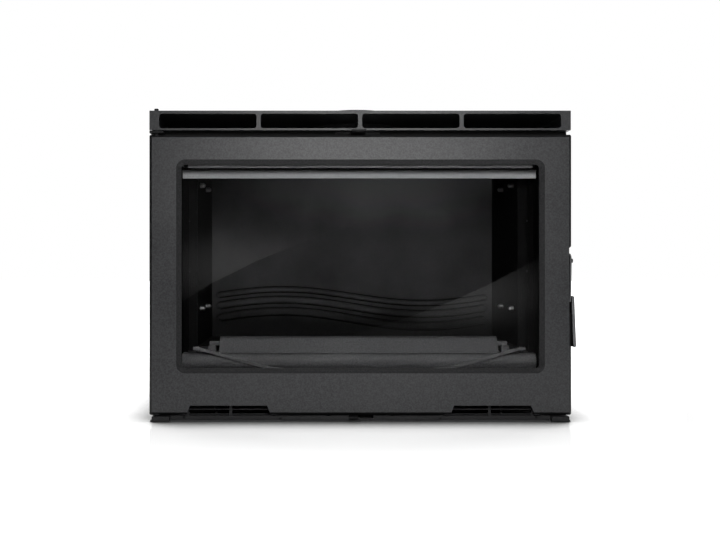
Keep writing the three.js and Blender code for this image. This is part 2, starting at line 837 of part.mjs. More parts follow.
function centrePanel() {
  const foot = centrePanelHalfWidth + centrePanelSlant;
  const shape = outline([
    [-foot, panelBottom],
    [foot, panelBottom],
    [centrePanelHalfWidth, centrePanelTop],
    [-centrePanelHalfWidth, centrePanelTop],
  ]);
  const back = plinthFront - seatGap;
  const slot = block(lowerSlotLeft, lowerSlotRight, centrePanelFront - 1, back + 1,
    lowerTabBottom - 1.5, centrePanelTop + 1);
  return cut(alongY(shape, centrePanelFront, back), slot);
}

function buildPlinth() {
  add('base_plate', basePlate(), sheetBlack);
  add('plinth_bar', plinthBar(), castIron);
  add('plinth_centre_panel', centrePanel(), castIron);
  addPair('plinth_grille', grille(), castIron);
  add('foot_right', alongX(footProfile(), footInner, footOuter), castIron);
  const left = alongX(footProfile(), -footOuter, -footInner);
  add('foot_left', cut(left, rodZ(hingeX, hingeDepth, hingePinRadius + seatGap, 0, footTop + 1)), castIron);
}

// ---------------------------------------------------------------- air sliders

function slider(tab, shutterFront) {
  const middle = (tab.left + tab.right) / 2;
  const top = tab.bottom + tab.thickness;
  const strap = block(tab.left, tab.right, tab.front, shutterFront + 1, tab.bottom, top);
  const half = shutterWidth / 2;
  const plate = block(middle - half, middle + half, shutterFront, shutterFront + shutterDepth,
    tab.bottom, top);
  return join(strap, plate);
}

// Folded channel on the firebox roof whose ports the upper shutter covers.
function airDuct() {
  const top = upperTabBottom - seatGap;
  const bottom = roofTop + seatGap;
  const profile = outline([
    [ductFront, bottom],
    [ductFront + sheet, bottom],
    [ductFront + sheet, top - sheet],
    [ductBack - sheet, top - sheet],
    [ductBack - sheet, bottom],
    [ductBack, bottom],
    [ductBack, top],
    [ductFront, top],
  ]);
  const reach = shutterWidth / 2 + sliderTravel + 20;
  const ports = [-36, 0, 36].map(
    (x) => block(x - 12, x + 12, ductFront + 12, ductBack - 12, top - sheet - 1, top + 1),
  );
  return cut(alongX(profile, -reach, reach), ...ports);
}

function buildSliders() {
  const upper = {
    left: upperTabLeft,
    right: upperTabRight,
    bottom: upperTabBottom,
    thickness: upperTabThickness,
    front: upperTabFront,
  };
  const lower = {
    left: lowerTabLeft,
    right: lowerTabRight,
    bottom: lowerTabBottom,
    thickness: lowerTabThickness,
    front: lowerTabFront,
  };
  add('upper_air_slider', slider(upper, ductFront + 4), steel);
  add('lower_air_slider', slider(lower, lowerShutterFront), steel);
  add('air_duct', airDuct(), sheetBlack);
}

// ---------------------------------------------------------------- casing

function ventBar() {
  const half = ventBarHalfWidth;
  const shell = block(-half, half, ventBarFront, frameBack, ventBarBottom, ventBarTop);
  const room = block(-half + ventBarWall, half - ventBarWall, ventBarFront + ventBarWall, frameBack + 1,
    ventBarBottom + ventBarWall, ventBarTop - ventBarWall);
  const run = 2 * (half - ventEndMargin);
  const pitch = (run + ventRibWidth) / ventSlotCount;
  const slots = [];
  for (let i = 0; i < ventSlotCount; i += 1) {
    const x0 = -half + ventEndMargin + i * pitch;
    const slot = roundRectShape(x0, ventBarBottom + ventSlotSill, x0 + pitch - ventRibWidth,
      ventBarTop - ventSlotHead, ventSlotRadius);
    slots.push(alongY(slot, ventBarFront - 1, ventBarFront + ventBarWall + 1));
  }
  return cut(shell, room, ...slots);
}

function frontFrame() {
  const plate = block(-casingHalfWidth, casingHalfWidth, frontFrameDepth, frameBack,
    fireboxFloor, frontFrameTop);
  const opening = roundRectShape(-openingHalfWidth, openingBottom, openingHalfWidth, openingTop,
    openingRadius);
  const slotLeft = upperTabLeft - sliderTravel - 0.5;
  const slotRight = upperTabRight + sliderTravel + 0.5;
  const slot = block(slotLeft, slotRight, frontFrameDepth - 1, frameBack + 1,
    upperTabBottom - 0.4, frontFrameTop + 1);
  return cut(plate, alongY(opening, frontFrameDepth - 1, frameBack + 1), slot);
}

// Row of upright air slots, as hole paths.
function airSlots(start, count) {
  const slots = [];
  for (let i = 0; i < count; i += 1) {
    const x = start + i * airSlotPitch;
    const radius = airSlotWidth / 2 - 0.1;
    slots.push(roundRect(new THREE.Path(), x, airSlotBottom, x + airSlotWidth, airSlotTop, radius));
  }
  return slots;
}

function sidePanel() {
  const back = overallDepth - sheet - seatGap;
  const shape = outline([
    [fireboxFront, panelBottom],
    [back, panelBottom],
    [back, panelTop],
    [fireboxFront, panelTop],
  ]);
  shape.holes.push(...airSlots(fireboxFront + 83, 8));
  return alongX(shape, casingHalfWidth - sheet, casingHalfWidth, 2);
}

function rearPanel() {
  const shape = outline([
    [-casingHalfWidth, panelBottom],
    [casingHalfWidth, panelBottom],
    [casingHalfWidth, panelTop],
    [-casingHalfWidth, panelTop],
  ]);
  const firstSlot = casingHalfWidth - 78;
  const groupWidth = 5 * airSlotPitch + airSlotWidth;
  shape.holes.push(...airSlots(-firstSlot, 6), ...airSlots(firstSlot - groupWidth, 6));
  return alongY(shape, overallDepth - sheet, overallDepth, 2);
}

const flueHole = (radius, z0, z1) => rodZ(0, flueDepth, radius, z0 - 1, z1 + 1, 40);

// Ring round the flue between two radii and two heights.
function flueRing(inner, outer, bottom, top) {
  const profile = [[inner, bottom], [outer, bottom], [outer, top], [inner, top], [inner, bottom]];
  const points = profile.map(([r, z]) => new THREE.Vector2(r, z));
  return new THREE.LatheGeometry(points, 40).rotateX(Math.PI / 2).translate(0, flueDepth, 0);
}

function buildCasing() {
  add('vent_bar', ventBar(), castIron);
  add('front_frame', frontFrame(), sheetBlack);
  addPair('casing_side', sidePanel(), sheetBlack);
  add('casing_rear', rearPanel(), sheetBlack);
  const top = block(-casingHalfWidth, casingHalfWidth, fireboxFront, overallDepth,
    casingTop - sheet, casingTop);
  add('casing_top', cut(top, flueHole(flueRadius + flueWall + 1, casingTop - sheet, casingTop)), sheetBlack);
  const flueBottom = roofTop + seatGap;
  const collarRadius = flueRadius + flueWall;
  add('flue_collar', flueRing(flueRadius, collarRadius, flueBottom, flueCollarTop), castIron);
  add('flue_flange', flueRing(collarRadius + seatGap, flueFlangeRadius, flueBottom,
    flueBottom + flueFlangeThickness), castIron);
}

// ---------------------------------------------------------------- firebox

function buildFirebox() {
  add('firebox_floor', block(-fireboxOuter, fireboxOuter, fireboxFront, fireboxRearBack,
    fireboxFloor, fireboxFloorTop), sheetBlack);
  addPair('firebox_side', block(fireboxHalfWidth, fireboxOuter, fireboxFront, fireboxBack,
    wallBottom, wallTop), sheetBlack);
  add('firebox_rear', block(-fireboxOuter, fireboxOuter, fireboxBack + seatGap, fireboxRearBack,
    wallBottom, wallTop), sheetBlack);
  const roof = block(-fireboxOuter, fireboxOuter, fireboxFront, fireboxRearBack, fireboxRoof, roofTop);
  add('firebox_roof', cut(roof, flueHole(flueRadius, fireboxRoof, roofTop)), sheetBlack);
}

// Height of a rib band's middle line at a place across the fireback.
const bandHeight = (band, x) => band.level - band.swing * Math.sin((2 * Math.PI * x) / ribWavelength);

// Outline of one wave band with round ends, grown by a margin.
function bandShape(band, margin) {
  const steps = 24;
  const half = band.width / 2 + margin;
  const reach = ribHalfSpan + margin - half;
  const upper = [];
  const lower = [];
  for (let i = 0; i <= steps; i += 1) {
    const x = -reach + (2 * reach * i) / steps;
    const slope = (-band.swing * 2 * Math.PI * Math.cos((2 * Math.PI * x) / ribWavelength)) / ribWavelength;
    const stretch = half / Math.hypot(1, slope);
    upper.push([x - slope * stretch, bandHeight(band, x) + stretch]);
    lower.push([x + slope * stretch, bandHeight(band, x) - stretch]);
  }
  const rightEnd = [[reach + half, bandHeight(band, reach)]];
  const leftEnd = [[-reach - half, bandHeight(band, -reach)]];
  return outline([...lower, ...rightEnd, ...upper.reverse(), ...leftEnd]);
}

// Cast back plate with three wave ribs, each standing in a shallow groove.
function fireback() {
  const half = liningHalfWidth;
  const plate = block(-half, half, firebackFace, firebackFace + firebackThickness, wallBottom, linerTop);
  const grooves = ribBands.map((band) => alongY(bandShape(band, ribGroove), firebackFace - 1,
    firebackFace + ribGroove));
  const ribs = ribBands.map((band) => {
    const geometry = new THREE.ExtrudeGeometry(bandShape(band, -ribRounding), {
      depth: ribGroove + 1,
      bevelThickness: ribHeight,
      bevelSize: ribRounding,
      bevelSegments: 3,
    });
    const middle = firebackFace + ribGroove + 1;
    return geometry.rotateX(Math.PI / 2).translate(0, middle, 0);
  });
  const ribbed = join(cut(plate, ...grooves), ...ribs);
  const back = firebackFace + firebackThickness;
  return cut(ribbed, block(-half - 1, half + 1, back, back + 20, wallBottom - 1, linerTop + 1));
}

function sideLiner() {
  const body = block(linerInner, linerOuter, linerFront, fireboxBack - seatGap, wallBottom, linerTop);
  const holes = [];
  for (const depth of capNutDepths) {
    for (const height of capNutHeights) {
      holes.push(rodX(depth, height, capNutStudRadius + seatGap, linerInner - 1, linerOuter + 1, 16));
    }
  }
  return cut(body, ...holes);
}

// Hexagon cap nut with a round head and a stud through the liner.
function capNut(depth, height) {
  const seat = liningHalfWidth;
  const hexRadius = capNutHexWidth / Math.sqrt(3);
  const hexLength = capNutReach - 4;
  const hex = rodX(depth, height, hexRadius, seat - hexLength, seat, 6);
  const dome = new THREE.SphereGeometry(capNutHexWidth / 2 - 0.3, 12, 8);
  dome.translate(seat - hexLength, depth, height);
  return join(hex, dome, rodX(depth, height, capNutStudRadius, seat - 1, linerOuter, 12));
}

function retainer() {
  const inner = linerOuter - retainerWidth;
  const front = block(inner, linerOuter, retainerFront, retainerFront + sheet, seatOnSill, linerTop);
  const side = block(linerOuter - sheet, linerOuter, retainerFront, linerFront - seatGap,
    seatOnSill, linerTop);
  return join(front, side);
}

// Bent strip behind the top of the glass that turns the air down over it.
function deflectorShape() {
  const front = fireboxFront + 3;
  const back = fireboxFront + deflectorDepth;
  const lipTop = deflectorBottom + deflectorLip;
  const slopeTop = lipTop + deflectorSlope;
  return outline([
    [front, deflectorBottom + 1],
    [front + 1, deflectorBottom],
    [front + deflectorSheet, deflectorBottom],
    [front + deflectorSheet, lipTop],
    [back, slopeTop],
    [back, openingTop],
    [back - deflectorSheet, openingTop],
    [back - deflectorSheet, slopeTop + deflectorSheet - 0.5],
    [front + 1.5, lipTop + deflectorSheet],
    [front, lipTop + 1],
  ]);
}

function buildLining() {
  add('fireback', fireback(), liner);
  addPair('side_liner', sideLiner(), liner);
  let count = 1;
  for (const depth of capNutDepths) {
    for (const height of capNutHeights) {
      addPair(`cap_nut_${count}`, capNut(depth, height), steel);
      count += 1;
    }
  }
  addPair('liner_retainer', retainer(), sheetBlack);
  add('baffle_plate', block(-linerOuter, linerOuter, baffleFront, fireboxBack - seatGap,
    baffleBottom, baffleBottom + baffleThickness), castDark);
  const bladeReach = openingHalfWidth - deflectorMargin;
  const blade = alongX(deflectorShape(), -bladeReach, bladeReach);
  const flangeBack = fireboxFront + deflectorDepth;
  const flange = block(-linerOuter, linerOuter, flangeBack - deflectorSheet, flangeBack,
    openingTop - deflectorFlange, openingTop);
  add('air_wash_deflector', join(blade, flange), castDark);
}

// ---------------------------------------------------------------- fire bed, grate and ash pan

function fireBed() {
  const reach = liningHalfWidth;
  const rimRect = { halfWidth: reach, front: bedFront, back: bedBack };
  const wellRect = { halfWidth: bedWellHalfWidth, front: bedWellFront, back: bedWellBack };
  const innerRim = {
    halfWidth: reach - bedRimWidth,
    front: bedFront + bedRimWidth,
    back: bedBack - bedRimWidth,
  };
  const innerFoot = {
    halfWidth: grateHalfWidth + bedFloorMargin,
    front: grateFront - bedFloorMargin,
    back: grateBack + bedFloorMargin,
  };
  const slopes = hopper(wellRect, rimRect, bedWellTop, bedRimBottom);
  const rim = block(-reach, reach, bedFront, bedBack, bedRimBottom - 0.01, bedRimTop);
  const well = block(-bedWellHalfWidth, bedWellHalfWidth, bedWellFront, bedWellBack,
    wallBottom, bedWellTop + 1);
  const wellRoom = block(-bedWellHalfWidth + bedWellWall, bedWellHalfWidth - bedWellWall,
    bedWellFront + bedWellWall, bedWellBack - bedWellWall, wallBottom - 1, bedWellTop);
  const seat = block(-grateHalfWidth - seatGap, grateHalfWidth + seatGap, grateFront - seatGap,
    grateBack + seatGap, grateSeat - seatGap, bedSlopeFoot + 1);
  const throatHalf = grateHalfWidth - throatMargin;
  const throat = block(-throatHalf, throatHalf, grateFront + throatMargin, grateBack - throatMargin,
    bedWellTop - 1, grateSeat + 1);
  return cut(join(slopes, rim, well), hopper(innerFoot, innerRim, bedSlopeFoot, bedRimTop + 0.01),
    wellRoom, seat, throat);
}

function grate() {
  const shape = roundRectShape(-grateHalfWidth, grateFront, grateHalfWidth, grateBack, 2);
  const room = 2 * (grateHalfWidth - grateRim);
  const pitch = (room + grateSlotWidth) / grateSlotCount;
  for (let i = 0; i < grateSlotCount; i += 1) {
    const x = -grateHalfWidth + grateRim + i * pitch;
    const slot = new THREE.Path();
    roundRect(slot, x, grateFront + grateRim, x + grateSlotWidth, grateBack - grateRim,
      grateSlotWidth / 2 - 0.1);
    shape.holes.push(slot);
  }
  return alongZ(shape, grateSeat, grateSeat + grateThickness, 2);
}

function ashPan() {
  const panFront = grateFront + panMargin;
  const panBack = grateBack - panMargin;
  const outer = block(-panHalfWidth, panHalfWidth, panFront, panBack, wallBottom, panTop);
  const room = block(-panHalfWidth + panWall, panHalfWidth - panWall, panFront + panWall, panBack - panWall,
    wallBottom + panWall, panTop + 1);
  return cut(outer, room);
}

function buildFireBed() {
  add('fire_bed', fireBed(), castDark);
  add('grate', grate(), castDark);
  add('ash_pan', ashPan(), steel);
}

// ---------------------------------------------------------------- sill and guards

// Sill whose nose bulges forward under the flat top.
function sillShape() {
  const back = linerFront - seatGap;
  const shape = new THREE.Shape();
  shape.moveTo(noseDepth, wallBottom);
  shape.lineTo(noseDepth + sillWall, wallBottom);
  shape.lineTo(noseDepth + sillWall, sillTop - sillWall);
  shape.lineTo(back, sillTop - sillWall);
  shape.lineTo(back, sillTop);
  shape.lineTo(noseDepth, sillTop);
  shape.absellipse(noseDepth, noseMiddle, sillNoseReach, sillNoseHeight / 2,
    Math.PI / 2, Math.PI * 1.5, false);
  shape.lineTo(noseDepth, wallBottom);
  return shape;
}

// Bar with a round top that leans back from its foot.
function emberGuard() {
  const bottom = seatOnSill;
  const radius = guardThickness / 2;
  const shape = new THREE.Shape();
  shape.moveTo(guardFront, bottom);
  shape.lineTo(guardFront + guardThickness, bottom);
  shape.lineTo(guardFront + guardThickness, guardTop - radius);
  shape.absarc(guardFront + radius, guardTop - radius, radius, 0, Math.PI, false);
  shape.lineTo(guardFront, bottom);
  const slope = guardLean / guardHeight;
  const lean = new THREE.Matrix4().set(1, 0, 0, 0, 0, 1, slope, -slope * bottom, 0, 0, 1, 0, 0, 0, 0, 1);
  return alongX(shape, -guardHalfWidth, guardHalfWidth, 8).applyMatrix4(lean);
}

// Stepped bracket beside the right end of the ember guard.
function guardBracket() {
  const bottom = seatOnSill;
  const inner = guardHalfWidth + bracketInner;
  const lowerInner = inner + bracketStep;
  const lowerOuter = lowerInner + bracketLowerWidth;
  const lowerFront = guardFront + bracketSetback;
  const upperFront = lowerFront + bracketUpperSetback;
  const lower = alongY(outline([
    [lowerInner, bottom],
    [lowerOuter, bottom],
    [lowerOuter - bracketTaper, bottom + bracketLowerHeight],
    [lowerInner, bottom + bracketLowerHeight],
  ]), lowerFront, lowerFront + bracketDepth);
  const upper = block(inner, inner + bracketUpperWidth, upperFront, upperFront + bracketDepth,
    bottom + bracketLowerHeight - 1, bottom + bracketHeight);
  return join(lower, upper);
}

// Flat bar bent down towards the middle, as an outline around its middle line.
function logBarShape() {
  const half = logBarThickness / 2;
  const endHeight = sillTop + logBarEndRise;
  const kneeHeight = sillTop - logBarKneeDrop;
  const line = [
    [logBarHalfLength, endHeight],
    [logBarHalfLength - logBarEndLength, endHeight],
    [logBarKneeX, kneeHeight],
    [logBarKneeX - logBarFlatLength, kneeHeight - logBarFlatDrop],
  ];
  const leftLow = line.map(([x, z]) => [-x, z - half]);
  const rightLow = line.map(([x, z]) => [x, z - half]).reverse();
  const rightHigh = line.map(([x, z]) => [x, z + half]);
  const leftHigh = line.map(([x, z]) => [-x, z + half]).reverse();
  return outline([...leftLow, ...rightLow, ...rightHigh, ...leftHigh]);
}

// Log guard bar with a peg behind each end that turns down to the sill.
function logGuardBar() {
  const front = sillFront - seatGap - logBarDepth;
  const back = front + logBarDepth;
  const pegEnd = back + logBarPegReach;
  const pegTop = sillTop + logBarEndRise + logBarPegWidth / 2;
  const pegs = [];
  for (const side of [-1, 1]) {
    const centre = side * (logBarHalfLength - logBarPegInset);
    const x0 = centre - logBarPegWidth / 2;
    const x1 = centre + logBarPegWidth / 2;
    pegs.push(block(x0, x1, back - 1, pegEnd, pegTop - logBarPegWidth, pegTop));
    pegs.push(block(x0, x1, pegEnd - logBarPegWidth, pegEnd, seatOnSill, pegTop));
  }
  return join(alongY(logBarShape(), front, back), ...pegs);
}

function buildSill() {
  const reach = fireboxHalfWidth - seatGap;
  add('front_sill', alongX(sillShape(), -reach, reach, 12), castIron);
  add('ember_guard', emberGuard(), castIron);
  addPair('guard_bracket', guardBracket(), castIron);
  add('log_guard_bar', logGuardBar(), castIron);
}

buildDoor();
buildHandle();
buildHinge();
buildPlinth();
buildSliders();
buildCasing();
buildFirebox();
buildLining();
buildFireBed();
buildSill();

stove.position.y = -overallDepth / 2;

const part = new THREE.Group();
part.add(stove);

export default part;
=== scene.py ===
"""Looks of a wide inset stove: cast door with a glass, vent bar, plinth, casing and firebox."""

import json
import logging
import math
from dataclasses import dataclass
from enum import Enum
from typing import Callable, Iterable, Sequence

import bmesh
import bpy
from mathutils import Matrix, Vector

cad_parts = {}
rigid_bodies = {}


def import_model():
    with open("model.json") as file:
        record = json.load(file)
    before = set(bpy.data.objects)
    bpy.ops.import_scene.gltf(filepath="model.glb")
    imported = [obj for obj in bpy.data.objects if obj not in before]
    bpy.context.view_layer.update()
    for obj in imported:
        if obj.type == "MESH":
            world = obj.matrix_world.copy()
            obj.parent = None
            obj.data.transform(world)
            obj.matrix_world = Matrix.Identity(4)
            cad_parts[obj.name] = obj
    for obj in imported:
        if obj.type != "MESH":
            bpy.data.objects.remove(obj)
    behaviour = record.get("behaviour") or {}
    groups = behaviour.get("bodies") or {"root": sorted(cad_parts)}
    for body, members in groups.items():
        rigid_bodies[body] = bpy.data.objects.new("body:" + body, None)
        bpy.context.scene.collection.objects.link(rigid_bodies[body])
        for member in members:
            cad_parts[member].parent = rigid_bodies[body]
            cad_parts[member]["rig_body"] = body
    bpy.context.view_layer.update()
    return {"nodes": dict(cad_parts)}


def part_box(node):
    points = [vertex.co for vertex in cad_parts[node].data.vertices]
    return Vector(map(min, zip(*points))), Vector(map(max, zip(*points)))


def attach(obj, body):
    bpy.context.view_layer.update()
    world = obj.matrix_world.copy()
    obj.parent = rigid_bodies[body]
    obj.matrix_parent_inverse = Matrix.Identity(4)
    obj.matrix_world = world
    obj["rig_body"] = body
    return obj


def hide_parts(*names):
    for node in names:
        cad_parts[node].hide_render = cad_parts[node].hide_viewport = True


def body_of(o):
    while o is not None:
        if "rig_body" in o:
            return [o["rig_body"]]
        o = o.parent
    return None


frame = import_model()

log = logging.getLogger("inset_stove")

MM = 0.001

Colour = tuple[float, float, float]
Point = tuple[float, float, float]
Pair = tuple[float, float]
Socket = bpy.types.NodeSocket
Node = bpy.types.Node
Shape = bmesh.types.BMesh
Face = bpy.types.MeshPolygon

WHITE = (1.0, 1.0, 1.0, 1.0)
RISING = (0.0, 1.0)
FALLING = (1.0, 0.0)


class Body(Enum):
    """The moving bodies that pieces ride on."""

    STOVE = "stove"
    DOOR = "door"
    HANDLE = "handle"
    UPPER_SLIDER = "upper_slider"
    LOWER_SLIDER = "lower_slider"
    FIRE_GRATE = "fire_grate"


class Slot(Enum):
    """The record's material slots, listed beside each finish."""

    CAST_FRONT = "cast_front"
    CAST_INNER = "cast_inner"
    LINING = "liner_plate"
    SHEET = "casing_sheet"
    STEEL = "plain_steel"
    DARK_STEEL = "dark_steel"
    GRIP = "bright_grip"
    NUT = "nut_steel"
    GLASS = "door_glass"
    SEAL = "seal_rope"


# ------------------------------------------------------------------ shader building


def scaled(colour: Colour, factor: float) -> Colour:
    """Returns the colour times a factor."""
    return (colour[0] * factor, colour[1] * factor, colour[2] * factor)


class Graph:
    """A node tree with short calls for adding and linking its nodes."""

    def __init__(self, tree: bpy.types.NodeTree) -> None:
        """Wraps a tree.

        Args:
            tree: The material's or group's node tree.
        """
        self.tree = tree

    def add(self, kind: str, **settings: object) -> Node:
        """Adds a node.

        Args:
            kind: The node's type name.
            **settings: Properties set on the node.

        Returns:
            The new node.
        """
        node = self.tree.nodes.new(kind)
        for name, value in settings.items():
            setattr(node, name, value)
        return node

    def link(self, source: Socket, target: Socket) -> None:
        """Joins two sockets."""
        self.tree.links.new(source, target)

    def feed(self, target: Socket, value: object) -> None:
        """Feeds a socket from another socket, or sets its value.

        Args:
            target: The socket to feed.
            value: A socket or a plain value.
        """
        if isinstance(value, Socket):
            self.link(value, target)
        else:
            target.default_value = value

    def math(self, operation: str, first: object, second: object, clamp: bool = False) -> Socket:
        """Adds a Math node on two sockets or numbers.

        Args:
            operation: The Math node's operation.
            first: A socket or a number.
            second: A socket or a number.
            clamp: Whether the result is kept between 0 and 1.

        Returns:
            The node's output.
        """
        node = self.add("ShaderNodeMath", operation=operation, use_clamp=clamp)
        for socket, value in zip(node.inputs, (first, second)):
            self.feed(socket, value)
        return node.outputs[0]

    def vector_math(self, operation: str, first: Socket, second: object = None) -> Node:
        """Adds a Vector Math node.

        Args:
            operation: The node's operation.
            first: A socket.
            second: A socket or three numbers, where the operation takes two vectors.

        Returns:
            The node.
        """
        node = self.add("ShaderNodeVectorMath", operation=operation)
        self.link(first, node.inputs[0])
        if second is not None:
            self.feed(node.inputs[1], second)
        return node

    def span(self, value: Socket, taken: Pair, given: Pair = RISING, soft: bool = False) -> Socket:
        """Maps a value from one range to another, clamped.

        Args:
            value: The socket to map.
            taken: Start and end of its range.
            given: Results at the start and at the end.
            soft: Whether the change starts and ends gently.

        Returns:
            The mapped socket.
        """
        kind = "SMOOTHSTEP" if soft else "LINEAR"
        node = self.add("ShaderNodeMapRange", interpolation_type=kind)
        self.link(value, node.inputs["Value"])
        for name, number in zip(("From Min", "From Max", "To Min", "To Max"), (*taken, *given)):
            node.inputs[name].default_value = number
        return node.outputs["Result"]

    def coordinates(self) -> Socket:
        """Adds Object coordinates."""
        return self.add("ShaderNodeTexCoord").outputs["Object"]

    def height_of(self, place: Socket) -> Socket:
        """Takes the Z out of coordinates.

        Args:
            place: The coordinates.

        Returns:
            Their Z.
        """
        axes = self.add("ShaderNodeSeparateXYZ")
        self.link(place, axes.inputs[0])
        return axes.outputs["Z"]

    def distance(self, place: Socket, centre: Point, weights: Point) -> Socket:
        """Measures how far a place is from a point, each axis with its own weight.

        Args:
            place: The coordinates.
            centre: The point.
            weights: The factor on each axis.

        Returns:
            The distance.
        """
        away = self.vector_math("SUBTRACT", place, centre)
        weighted = self.vector_math("MULTIPLY", away.outputs["Vector"], weights)
        return self.vector_math("LENGTH", weighted.outputs["Vector"]).outputs["Value"]

    def noise(
        self, place: Socket, scale: object, detail: float = 2.0, roughness: float = 0.5
    ) -> Socket:
        """Adds a noise.

        Args:
            place: The coordinates.
            scale: A number or a socket.
            detail: How many finer layers it has.
            roughness: How strong the finer layers are.

        Returns:
            The noise's value.
        """
        node = self.add("ShaderNodeTexNoise")
        self.link(place, node.inputs["Vector"])
        self.feed(node.inputs["Scale"], scale)
        node.inputs["Detail"].default_value = detail
        node.inputs["Roughness"].default_value = roughness
        return node.outputs["Fac"]

    def blend(self, mask: Socket, first: object, second: object) -> Socket:
        """Mixes two colours by a mask.

        Args:
            mask: The share of the second colour.
            first: A colour or a socket.
            second: A colour or a socket.

        Returns:
            The mixed colour.
        """
        node = self.add("ShaderNodeMix", data_type="RGBA")
        self.link(mask, node.inputs[0])
        for socket, value in ((node.inputs[6], first), (node.inputs[7], second)):
            self.feed(socket, value if isinstance(value, Socket) else (*value, 1.0))
        return node.outputs[2]

    def shades(self, mask: Socket, colour: Colour, tones: Pair) -> Socket:
        """Runs between a darker and a brighter tone of a colour by a mask.

        Args:
            mask: 0 for the first tone, 1 for the second.
            colour: The colour.
            tones: The factors on it.

        Returns:
            The mixed colour.
        """
        return self.blend(mask, scaled(colour, tones[0]), scaled(colour, tones[1]))

    def stain(self, skin: object, colour: Colour, mask: Socket, share: float) -> Socket:
        """Lays a colour over a skin by a share of a mask.

        Args:
            skin: The colour or socket underneath.
            colour: The colour laid over it.
            mask: Where it lies.
            share: How much of it shows where the mask is full.

        Returns:
            The stained skin.
        """
        return self.blend(self.math("MULTIPLY", mask, share), skin, colour)

    def vary_roughness(self, shader: Node, mask: Socket, middle: float, spread: Pair) -> None:
        """Lets a shader's roughness vary by a mask.

        Args:
            shader: The shader.
            mask: 0 where it is smoothest, 1 where it is roughest.
            middle: The roughness that the spread is counted from.
            spread: How far it goes below and above.
        """
        rough = self.span(mask, RISING, (middle - spread[0], middle + spread[1]))
        self.link(rough, shader.inputs["Roughness"])

    def bump(self, shader: Node, height: Socket, strength: float, distance: float) -> None:
        """Gives a shader's surface a relief.

        Args:
            shader: The shader.
            height: The relief.
            strength: How much of it shows.
            distance: Its height in millimetres.
        """
        node = self.add("ShaderNodeBump")
        node.inputs["Strength"].default_value = strength
        node.inputs["Distance"].default_value = distance * MM
        self.link(height, node.inputs["Height"])
        self.link(node.outputs["Normal"], shader.inputs["Normal"])

    def show_either(self, mask: Socket, first: Socket, second: Socket) -> None:
        """Makes the material's surface a mix of two shaders.

        Args:
            mask: The share of the second shader.
            first: The first shader's output.
            second: The second shader's output.
        """
        mix = self.add("ShaderNodeMixShader")
        for socket, source in zip(mix.inputs, (mask, first, second)):
            self.link(source, socket)
        self.link(mix.outputs[0], self.tree.nodes["Material Output"].inputs["Surface"])


class Group(Graph):
    """A shader node group with a vector input, number inputs and number outputs."""

    def __init__(self, name: str, inputs: dict[str, float], outputs: Iterable[str]) -> None:
        """Starts the group.

        Args:
            name: The group's name.
            inputs: Names and default values of its number inputs.
            outputs: Names of its number outputs.
        """
        super().__init__(bpy.data.node_groups.new(name, "ShaderNodeTree"))
        sides = self.tree.interface
        sides.new_socket(name="Vector", in_out="INPUT", socket_type="NodeSocketVector")
        for label, value in inputs.items():
            socket = sides.new_socket(name=label, in_out="INPUT", socket_type="NodeSocketFloat")
            socket.default_value = value
        for label in outputs:
            sides.new_socket(name=label, in_out="OUTPUT", socket_type="NodeSocketFloat")
        self.source = self.add("NodeGroupInput")
        self.sink = self.add("NodeGroupOutput")

    def taken(self, label: str) -> Socket:
        """Returns one of the group's inputs."""
        return self.source.outputs[label]

    def give(self, **results: Socket) -> bpy.types.NodeTree:
        """Links results to the group's outputs.

        Args:
            **results: The sockets, by the outputs' names in lower case.

        Returns:
            The finished group.
        """
        for label, socket in results.items():
            self.link(socket, self.sink.inputs[label.capitalize()])
        return self.tree


@dataclass(frozen=True)
class CastGrain:
    """The grain of a sand casting: fine pits, soft lumps, pinholes and wide patches."""

    pit_span: Pair = (0.36, 0.64)
    pit_detail: float = 3.0
    pit_roughness: float = 0.6
    pit_share: float = 0.55
    lump_scale: float = 0.22
    lump_share: float = 0.6
    patch_scale: float = 9.0
    patch_detail: float = 4.0
    patch_span: Pair = (0.3, 0.7)
    hole_scale: float = 95.0
    hole_span: Pair = (0.045, 0.09)
    hole_rarity: float = 0.62

    def build(self) -> bpy.types.NodeTree:
        """Builds the group.

        Returns:
            The group, with outputs Height, Speckle, Patch and Pinhole.
        """
        group = Group("cast_grain", {"Scale": 900.0}, ("Height", "Speckle", "Patch", "Pinhole"))
        place, scale = group.taken("Vector"), group.taken("Scale")
        fine = group.noise(place, scale, self.pit_detail, self.pit_roughness)
        lump = group.noise(place, group.math("MULTIPLY", scale, self.lump_scale))
        wide = group.noise(place, self.patch_scale, self.patch_detail)
        pits = group.span(fine, self.pit_span)
        skin = group.math(
            "ADD",
            group.math("MULTIPLY", pits, self.pit_share),
            group.math("MULTIPLY", lump, self.lump_share),
        )
        cells = group.add("ShaderNodeTexVoronoi")
        cells.inputs["Scale"].default_value = self.hole_scale
        group.link(place, cells.inputs["Vector"])
        chosen = group.math("GREATER_THAN", cells.outputs["Color"], self.hole_rarity)
        hole = group.span(cells.outputs["Distance"], self.hole_span, FALLING)
        pinhole = group.math("MULTIPLY", hole, chosen)
        return group.give(
            pinhole=pinhole,
            height=group.math("SUBTRACT", skin, pinhole),
            speckle=pits,
            patch=group.span(wide, self.patch_span),
        )


